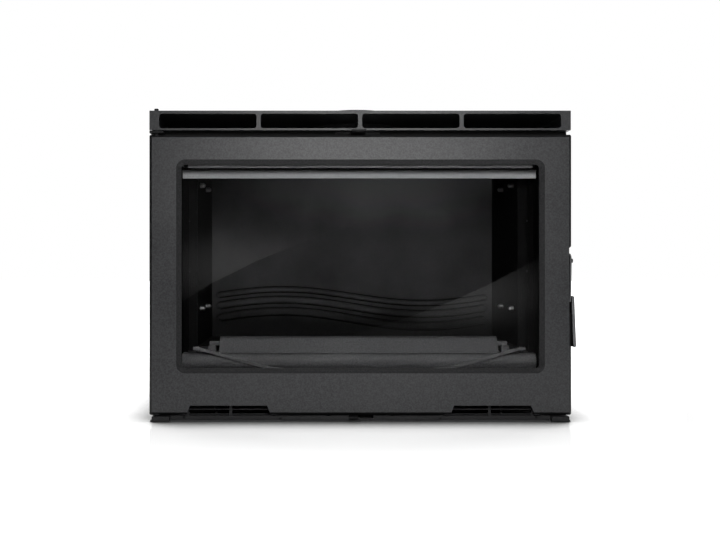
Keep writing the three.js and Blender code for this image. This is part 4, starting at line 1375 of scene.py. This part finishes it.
@dataclass
class Handle(Assembly):
    """Door handle: arm with its pivot screw, bright grip, spindle and latch cam."""

    pieces: Sequence[CadPiece] = (
        CadPiece("handle_grip", Look.GRIP, 0.9, 3),
        CadPiece("handle_spindle", Look.HINGE, 0.3),
        CadPiece("latch_cam", Look.STEEL, 0.5),
    )
    arm_thickness: float = 4.9 * MM
    plate_share: float = 0.5
    plate_rounding: float = 0.4
    seam_gap: float = 0.05 * MM
    spacer_setback: float = 9 * MM
    side_facing: float = 0.4

    def add_details(self) -> None:
        """Paints the grip's back and ends and the arm plate's left side dark as painted shade, and
        parts the arm into a plate and a spacer behind.
        """

        def shaded_left_side(face: Face) -> bool:
            """Says whether a face looks to the left."""
            return face.normal.x < -self.side_facing

        def shaded_back_or_end(face: Face) -> bool:
            """Says whether a face looks to the left, up or down."""
            return shaded_left_side(face) or abs(face.normal.z) > self.side_facing

        # The grip's back and ends get dark paint as painted shade.
        self.repaint("handle_grip_finished", Look.HINGE, shaded_back_or_end)
        low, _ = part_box("handle_arm")
        seam = low.x + self.arm_thickness * self.plate_share
        plate = merged_copy("handle_arm")
        self.cut_away(plate, (seam, 0, 0), (1, 0, 0))
        round_edges(plate, self.plate_rounding)
        front = to_object("handle_arm_plate", plate, smooth_angle=60.0)
        self.place(front, Look.ARM, Body.HANDLE, "handle_arm")
        # The arm plate's left side gets dark paint as painted shade.
        self.repaint("handle_arm_plate", Look.HINGE, shaded_left_side)
        spacer = merged_copy("handle_arm")
        self.cut_away(spacer, (seam - self.seam_gap, 0, 0), (-1, 0, 0))
        self.cut_away(spacer, (0, low.y + self.spacer_setback, 0), (0, 1, 0))
        behind = to_object("handle_arm_spacer", spacer, smooth_angle=60.0)
        self.place(behind, Look.HINGE, Body.HANDLE)

    @staticmethod
    def cut_away(shape: Shape, at: Point, side: Point) -> None:
        """Cuts off what lies behind a plane and closes the cut.

        Args:
            shape: The bmesh to cut.
            at: A point on the plane.
            side: The direction of the side that is kept.
        """
        cut = bmesh.ops.bisect_plane(
            shape,
            geom=[*shape.verts, *shape.edges, *shape.faces],
            plane_co=at,
            plane_no=side,
            clear_inner=True,
        )
        bmesh.ops.holes_fill(shape, edges=edges_in(cut["geom_cut"]), sides=0)
        bmesh.ops.recalc_face_normals(shape, faces=shape.faces)


@dataclass
class FrontTrim(Assembly):
    """Vent bar, plinth and the two air sliders."""

    pieces: Sequence[CadPiece] = (
        CadPiece("vent_bar", Look.FRONT_CAST, 0.7),
        CadPiece("plinth_bar", Look.PLINTH_CAST, 0.3),
        CadPiece("plinth_centre_panel", Look.PLINTH_CAST, 0.4),
        CadPiece("plinth_grille_left", Look.PLINTH_CAST, 0.2),
        CadPiece("plinth_grille_right", Look.PLINTH_CAST, 0.2),
        CadPiece("foot_left", Look.PLINTH_CAST, 0.4),
        CadPiece("foot_right", Look.PLINTH_CAST, 0.4),
        CadPiece("upper_air_slider", Look.HINGE, 0.3),
        CadPiece("lower_air_slider", Look.HINGE, 0.3),
        CadPiece("upper_hinge_bracket", Look.HINGE, 0.3),
        CadPiece("upper_hinge_pin", Look.HINGE, 0.3),
        CadPiece("lower_hinge_pin", Look.HINGE, 0.3),
        CadPiece("latch_keeper", Look.STEEL, 0.4),
    )
    screw: ScrewHead = ScrewHead(2.1, 1.5, 0.4, 1.0, 0.8)
    screw_places: Sequence[Pair] = (
        (-0.2925, 0.008),
        (-0.1327, 0.0056),
        (0.1327, 0.0056),
        (0.2925, 0.008),
    )
    nub: ScrewHead = ScrewHead(3.6, 3.6, 0.5, 1.5, 0.8)
    nub_inset: Pair = (11 * MM, 5 * MM)

    def add_details(self) -> None:
        """Adds the plinth screws and the bolt nub on the vent bar."""
        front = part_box("plinth_bar")[0].y
        for index, (x, z) in enumerate(self.screw_places, start=1):
            head = moved(self.screw.build(), facing((0, -1, 0), (x, front, z)))
            name = f"plinth_screw_{index}"
            self.place(to_object(name, head), Look.HINGE, Body.STOVE)
        low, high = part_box("vent_bar")
        beside, behind = self.nub_inset
        spot = facing((0, 0, 1), (low.x + beside, low.y + behind, high.z))
        nub = to_object("vent_bar_bolt", moved(self.nub.build(), spot))
        self.place(nub, Look.HINGE, Body.STOVE)


@dataclass
class Casing(Assembly):
    """Outer casing, front frame, base plate and flue collar."""

    pieces: Sequence[CadPiece] = (
        CadPiece("casing_side_left", Look.SHEET, 0.4),
        CadPiece("casing_side_right", Look.SHEET, 0.4),
        CadPiece("casing_rear", Look.SHEET, 0.4),
        CadPiece("casing_top", Look.SHEET, 0.4),
        CadPiece("front_frame", Look.FRAME, 0.4),
        CadPiece("base_plate", Look.SHEET, 0.4),
        CadPiece("flue_collar", Look.INNER_CAST, 0.5),
        CadPiece("flue_flange", Look.INNER_CAST, 0.5),
        CadPiece("air_duct", Look.SHEET, 0.3),
    )
    screw: ScrewHead = ScrewHead(3.2, 1.5, 0.7, 1.3, 0.9)
    screw_edge: float = 14 * MM
    screw_pitch: float = 130 * MM
    bolt: BoltHead = BoltHead(9, 4, 0.3)
    bolt_count: int = 6

    def add_details(self) -> None:
        """Adds the screws of the side and top panels and the bolts of the flue flange."""
        for side, outward in (("left", -1.0), ("right", 1.0)):
            low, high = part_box(f"casing_side_{side}")
            face = low.x if side == "left" else high.x
            rows, columns = self.rows(low.y, high.y), self.spread(low.z, high.z)
            spots = [(face, y, z) for y in rows for z in columns]
            self.panel_screws(side, (outward, 0, 0), spots)
        low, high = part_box("casing_top")
        rows, columns = self.rows(low.y, high.y), self.spread(low.x, high.x)
        spots = [(x, y, high.z) for y in rows for x in columns]
        self.panel_screws("top", (0, 0, 1), spots)
        self.flange_bolts()

    def panel_screws(self, panel: str, outward: Point, spots: Iterable[Point]) -> None:
        """Adds one panel's screws.

        Args:
            panel: The panel's name.
            outward: The direction that it faces.
            spots: The screws' places on it.
        """
        row = row_of(self.screw.build(), [facing(outward, spot) for spot in spots])
        screws = to_object(f"casing_screws_{panel}", row)
        self.place(screws, Look.DARK_STEEL, Body.STOVE)

    def rows(self, start: float, stop: float) -> Pair:
        """Returns the two lines of screws along a panel's edges."""
        return (start + self.screw_edge, stop - self.screw_edge)

    def spread(self, start: float, stop: float) -> list[float]:
        """Spreads screws evenly between two edges.

        Args:
            start: The first edge.
            stop: The last edge.

        Returns:
            Their places.
        """
        first, last = start + 2 * self.screw_edge, stop - 2 * self.screw_edge
        count = max(2, round((last - first) / self.screw_pitch) + 1)
        return [first + (last - first) * index / (count - 1) for index in range(count)]

    def flange_bolts(self) -> None:
        """Adds the bolts that hold the flue flange."""
        low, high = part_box("flue_flange")
        collar_low, collar_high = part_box("flue_collar")
        middle = (low + high) / 2
        ring = ((high.x - low.x) / 2 + (collar_high.x - collar_low.x) / 2) / 2
        spots = []
        for index in range(self.bolt_count):
            turn = math.radians(360 / self.bolt_count * (index + 0.5))
            at = (middle.x + ring * math.cos(turn), middle.y + ring * math.sin(turn), high.z)
            spots.append(facing((0, 0, 1), at))
        row = row_of(self.bolt.build(), spots)
        bolts = to_object("flue_flange_bolts", row, smooth_angle=40.0)
        self.place(bolts, Look.STEEL, Body.STOVE)


@dataclass
class Firebox(Assembly):
    """Firebox plates, liners with their cap nuts and retainers, fireback, baffle and deflector."""

    pieces: Sequence[CadPiece] = (
        CadPiece("firebox_side_left", Look.CHAMBER),
        CadPiece("firebox_side_right", Look.CHAMBER),
        CadPiece("firebox_rear", Look.CHAMBER),
        CadPiece("firebox_roof", Look.CHAMBER),
        CadPiece("firebox_floor", Look.CHAMBER),
        CadPiece("side_liner_left", Look.LINING, 0.6),
        CadPiece("side_liner_right", Look.LINING, 0.6),
        CadPiece("liner_retainer_left", Look.CHAMBER, 0.3),
        CadPiece("liner_retainer_right", Look.CHAMBER, 0.3),
        CadPiece("fireback", Look.FIREBACK, 0.4),
        CadPiece("baffle_plate", Look.LINING, 0.6),
        CadPiece("air_wash_deflector", Look.DEFLECTOR, 0.4),
    )
    rib_height: float = 4.5 * MM
    rib_reach: float = 247 * MM
    groove_depth: float = 2 * MM
    groove_margin: float = 0.2 * MM
    screw: ScrewHead = ScrewHead(1.9, 1.4, 0.4, 0.9, 0.7)
    screw_heights: Sequence[float] = (337 * MM, 250 * MM)
    screw_place: float = -137.5 * MM
    nuts_on_a_side: int = 4
    nut_rounding: float = 0.35
    nut_hexagon: float = 0.45
    dome_share: float = 0.4
    dome_sides: int = 24
    dome_rings: int = 12
    neck_share: float = 0.985
    neck_sides: int = 20
    neck_foot: float = 0.5
    neck_rise: float = 0.4 * MM

    def add_details(self) -> None:
        """Paints the fireback's grooves black as painted shade, and adds the domed cap nuts and the
        retainer screws.
        """
        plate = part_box("fireback")[0].y + self.rib_height
        shallow = plate + self.groove_margin
        deep = plate + self.groove_depth + self.groove_margin

        def in_shaded_groove(face: Face) -> bool:
            """Says whether a face lies in a groove round the ribs."""
            return shallow < face.center.y < deep and abs(face.center.x) < self.rib_reach

        # The grooves round the ribs are painted black as painted shade.
        self.repaint("fireback_finished", Look.CHAMBER, in_shaded_groove)
        for side, inward in (("left", 1.0), ("right", -1.0)):
            for number in range(1, self.nuts_on_a_side + 1):
                self.cap_nut(f"cap_nut_{number}_{side}", inward)
            low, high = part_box(f"liner_retainer_{side}")
            face = high.x if side == "left" else low.x
            for number, z in enumerate(self.screw_heights, start=1):
                spot = facing((inward, 0, 0), (face, self.screw_place, z))
                name = f"retainer_screw_{number}_{side}"
                head = to_object(name, moved(self.screw.build(), spot))
                self.place(head, Look.HINGE, Body.STOVE)

    def cap_nut(self, node: str, inward: float) -> None:
        """Replaces a CAD cap nut by one with a chamfered hexagon and a smooth dome.

        Args:
            node: The CAD node.
            inward: 1 for a nut that faces right, -1 for one that faces left.
        """
        low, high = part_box(node)
        length = high.x - low.x
        across = high.z - low.z
        hexagon = length * self.nut_hexagon
        dome = across * self.dome_share
        centre = length - dome
        shape = bmesh.new()
        add_cylinder(shape, 6, across / 2, hexagon, hexagon / 2)
        round_edges(shape, self.nut_rounding, angle=40.0)
        bmesh.ops.create_uvsphere(
            shape,
            u_segments=self.dome_sides,
            v_segments=self.dome_rings,
            radius=dome,
            matrix=Matrix.Translation((0, 0, centre)),
        )
        foot, top = hexagon * self.neck_foot, centre + self.neck_rise
        neck = dome * self.neck_share
        add_cylinder(shape, self.neck_sides, neck, top - foot, (foot + top) / 2)
        middle = (low + high) / 2
        wall = low.x if inward > 0.0 else high.x
        moved(shape, facing((inward, 0, 0), (wall, middle.y, middle.z)))
        nut = to_object(f"{node}_domed", shape, smooth_angle=45.0)
        self.place(nut, Look.NUT, Body.STOVE, node)


@dataclass
class FireBed(Assembly):
    """Fire bed, grate, ash pan, sill, ember guard with its brackets, and log guard bar."""

    pieces: Sequence[CadPiece] = (
        CadPiece("fire_bed", Look.BED_CAST, 0.8),
        CadPiece("grate", Look.INNER_CAST, 0.8),
        CadPiece("ash_pan", Look.SHEET, 0.4),
        CadPiece("front_sill", Look.GUARD_CAST, 0.8),
        CadPiece("ember_guard", Look.GUARD_CAST, 0.8),
        CadPiece("guard_bracket_left", Look.GUARD_CAST, 0.5),
        CadPiece("guard_bracket_right", Look.GUARD_CAST, 0.5),
        CadPiece("log_guard_bar", Look.CLAMP, 0.6),
    )


# ------------------------------------------------------------------ studio


@dataclass(frozen=True)
class Lamp:
    """A rectangular lamp: its place, the point that it faces, its size, and its power in watts.

    Glass and polished metal mirror it only where that is asked for.
    """

    name: str
    at: Point
    target: Point
    size: Pair
    power: float
    mirrored: bool = False

    def build(self) -> None:
        """Adds the lamp to the scene."""
        light = bpy.data.lights.new(self.name, "AREA")
        light.shape = "RECTANGLE"
        light.size, light.size_y = self.size
        light.energy = self.power
        lamp = bpy.data.objects.new(self.name, light)
        lamp.location = self.at
        aim = Vector(self.target) - Vector(self.at)
        lamp.rotation_euler = aim.to_track_quat("-Z", "Y").to_euler()
        lamp.visible_glossy = self.mirrored
        lamp.visible_transmission = self.mirrored
        bpy.context.scene.collection.objects.link(lamp)


@dataclass(frozen=True)
class Glare:
    """A dim reflection on the glass, as X and Z on it: its outline and its brightest point."""

    name: str
    outline: Sequence[Pair]
    bright: Pair
    strength: float


@dataclass
class Studio:
    """Plain pale studio: world, floor, soft lamps, cards that the glass mirrors, and the camera."""

    world_level: float = 0.09
    floor_size: float = 30.0
    floor_roughness: float = 0.03
    floor_specular: float = 0.1
    floor_shadow_grey: Pair = (0.3, 0.86)
    floor_lift: Pair = (0.5, 0.92)
    lift_reach: Pair = (0.42, 1.1)
    contact_reach: float = 0.1
    contact_span: Pair = (0.52, 0.9)
    contact_samples: int = 8
    lamps: Sequence[Lamp] = (
        Lamp("front_soft", (0.08, -1.72, 0.72), (0.0, -0.2, 0.3), (0.36, 0.4), 17.0, True),
        Lamp("door_soft", (0.0, -0.68, 0.36), (0.0, 0.0, 0.36), (0.3, 0.12), 0.9),
        Lamp("top_soft", (0.0, 0.8, 1.9), (0.0, 0.1, 0.5), (1.4, 0.8), 14.0),
        Lamp("left_back", (-2.0, 2.0, 1.5), (0.0, 0.1, 0.25), (1.6, 1.2), 40.0),
        Lamp("right_back", (2.0, 2.0, 1.5), (0.0, 0.1, 0.25), (1.6, 1.2), 40.0),
    )
    card_distance: float = 0.6
    card_width: float = 2.4
    card_height: Pair = (0.002, 1.5)
    screen_end: float = 1.4
    glare_gap: float = 0.01
    glare_reach: Pair = (0.02, 0.21)
    glare_weights: Point = (1.0, 0.0, 2.0)
    glare_rest: float = 0.12
    glares: Sequence[Glare] = (
        Glare(
            "upper_glare",
            (
                (-0.32, 0.192), (-0.294, 0.2006), (-0.246, 0.2304), (-0.17, 0.268),
                (-0.09, 0.3), (0.0, 0.33), (0.09, 0.356), (0.222, 0.38),
                (0.222, 0.406), (-0.34, 0.406),
            ),
            (-0.205, 0.256),
            0.23,
        ),
        Glare(
            "lower_glare",
            (
                (0.32, 0.28), (0.295, 0.2703), (0.2186, 0.2304), (0.1572, 0.2022),
                (0.07, 0.17), (-0.0254, 0.1408), (-0.1, 0.12),
                (-0.1, 0.06), (0.34, 0.06),
            ),
            (0.185, 0.215),
            0.25,
        ),
    )
    eye: Point = (-0.0802, -1.7125, 0.2571)
    lens: float = 45.45
    shift: Pair = (0.0667, -0.0042)

    def build(self) -> None:
        """Builds the studio's parts."""
        self.world()
        self.floor()
        for lamp in self.lamps:
            lamp.build()
        self.cards()
        self.camera()

    def seen_directly(self, graph: Graph) -> Socket:
        """Adds a mask of camera, glossy and transmission rays.

        Args:
            graph: The graph that gets it.

        Returns:
            The mask.
        """
        path = graph.add("ShaderNodeLightPath").outputs
        first = graph.math("ADD", path["Is Camera Ray"], path["Is Glossy Ray"])
        return graph.math("ADD", first, path["Is Transmission Ray"], clamp=True)

    def world(self) -> None:
        """Makes the world: white where it is seen, a plain level where it lights."""
        world = bpy.data.worlds.new("plain_world")
        bpy.context.scene.world = world
        world.use_nodes = True
        graph = Graph(world.node_tree)
        back = world.node_tree.nodes["Background"]
        back.inputs["Color"].default_value = WHITE
        level = graph.span(self.seen_directly(graph), RISING, (self.world_level, 1.0))
        graph.link(level, back.inputs["Strength"])

    def floor(self) -> None:
        """Makes the pale floor, slightly glossy, with a painted contact shadow where the stove
        stands close over it.
        """
        shape = bmesh.new()
        bmesh.ops.create_grid(shape, x_segments=1, y_segments=1, size=self.floor_size / 2)
        floor = to_object("floor", shape)
        material, graph, shader = start_material("pale_floor")
        shader.inputs["Roughness"].default_value = self.floor_roughness
        shader.inputs["Specular IOR Level"].default_value = self.floor_specular
        shader.inputs["Emission Color"].default_value = WHITE
        # Painted contact shadow: the floor's colour and glow fall off where ambient occlusion finds
        # the stove close.
        open_sky = graph.add("ShaderNodeAmbientOcclusion", samples=self.contact_samples)
        open_sky.inputs["Distance"].default_value = self.contact_reach
        outside_painted_shadow = graph.span(open_sky.outputs["AO"], self.contact_span)
        tone = graph.shades(outside_painted_shadow, WHITE[:3], self.floor_shadow_grey)
        graph.link(tone, shader.inputs["Base Color"])
        away = graph.distance(graph.coordinates(), (0.0, 0.0, 0.0), (1.0, 1.0, 0.0))
        lift = graph.span(away, self.lift_reach, self.floor_lift)
        lifted = graph.math("MULTIPLY", outside_painted_shadow, lift)
        glow = graph.math("MULTIPLY", lifted, self.seen_directly(graph))
        graph.link(glow, shader.inputs["Emission Strength"])
        floor.data.materials.append(material)

    def card(
        self,
        name: str,
        outline: Sequence[Point],
        strength: float = 0.0,
        bright_at: Point = (0.0, 0.0, 0.0),
    ) -> None:
        """Adds a flat card that only glossy rays meet.

        Args:
            name: The card's name.
            outline: Its corners in order.
            strength: Its emission where it is brightest, 0 for a black card.
            bright_at: The point round which it is brightest.
        """
        shape = bmesh.new()
        shape.faces.new([shape.verts.new(point) for point in outline])
        card = to_object(name, shape)
        material, graph, shader = start_material(f"{name}_surface")
        material.node_tree.nodes.remove(shader)
        glow = graph.add("ShaderNodeEmission")
        glow.inputs["Color"].default_value = WHITE
        far = graph.distance(graph.coordinates(), bright_at, self.glare_weights)
        rest = strength * self.glare_rest
        fade = graph.span(far, self.glare_reach, (strength, rest), soft=True)
        graph.link(fade, glow.inputs["Strength"])
        clear = graph.add("ShaderNodeBsdfTransparent")
        path = graph.add("ShaderNodeLightPath").outputs
        mirrored = graph.math("ADD", path["Glossy Depth"], path["Diffuse Depth"], clamp=True)
        graph.show_either(mirrored, clear.outputs["BSDF"], glow.outputs["Emission"])
        card.data.materials.append(material)
        card.visible_camera = False
        card.visible_diffuse = False
        card.visible_shadow = False

    def mirror_point(self, x: float, z: float, ahead: float) -> Point:
        """Finds the point that the camera sees mirrored in the glass.

        Args:
            x: Place on the glass.
            z: Place on the glass.
            ahead: How far in front of the glass the point lies.

        Returns:
            The point.
        """
        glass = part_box("door_glass")[0].y
        share = ahead / (glass - self.eye[1])
        return (x + (x - self.eye[0]) * share, glass - ahead, z + (z - self.eye[2]) * share)

    def cards(self) -> None:
        """Adds the dark cards round the view of the glass and two dim ones with curved edges."""
        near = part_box("door_glass")[0].y - self.card_distance
        half = self.card_width / 2
        low, top = self.card_height
        beside = self.screen_end
        front = [(-half, near, low), (half, near, low), (half, near, top), (-half, near, top)]
        self.card("dark_card", front)
        for x, name in ((-half, "left_screen"), (half, "right_screen")):
            self.card(name, [(x, near, low), (x, beside, low), (x, beside, top), (x, near, top)])
        ahead = self.card_distance - self.glare_gap
        for glare in self.glares:
            outline = [self.mirror_point(x, z, ahead) for x, z in glare.outline]
            bright_at = self.mirror_point(*glare.bright, ahead)
            self.card(glare.name, outline, glare.strength, bright_at)

    def camera(self) -> None:
        """Adds the camera, level and square to the door."""
        lens = bpy.data.cameras.new("view_camera")
        lens.lens = self.lens
        lens.sensor_width = 36.0
        lens.sensor_fit = "HORIZONTAL"
        lens.shift_x, lens.shift_y = self.shift
        lens.clip_start = 0.01
        camera = bpy.data.objects.new("view_camera", lens)
        camera.location = self.eye
        camera.rotation_euler = (math.radians(90.0), 0.0, 0.0)
        bpy.context.scene.collection.objects.link(camera)
        bpy.context.scene.camera = camera


def main() -> None:
    """Builds every sub-assembly and the studio."""
    logging.basicConfig(level=logging.INFO, format="%(name)s %(message)s")
    bpy.context.scene.view_settings.view_transform = "Standard"
    palette = Palette()
    for assembly in (Door, Handle, FrontTrim, Casing, Firebox, FireBed):
        log.info("building %s", assembly.__name__)
        assembly(palette).build()
    Studio().build()


if __name__ == "__main__":
    main()
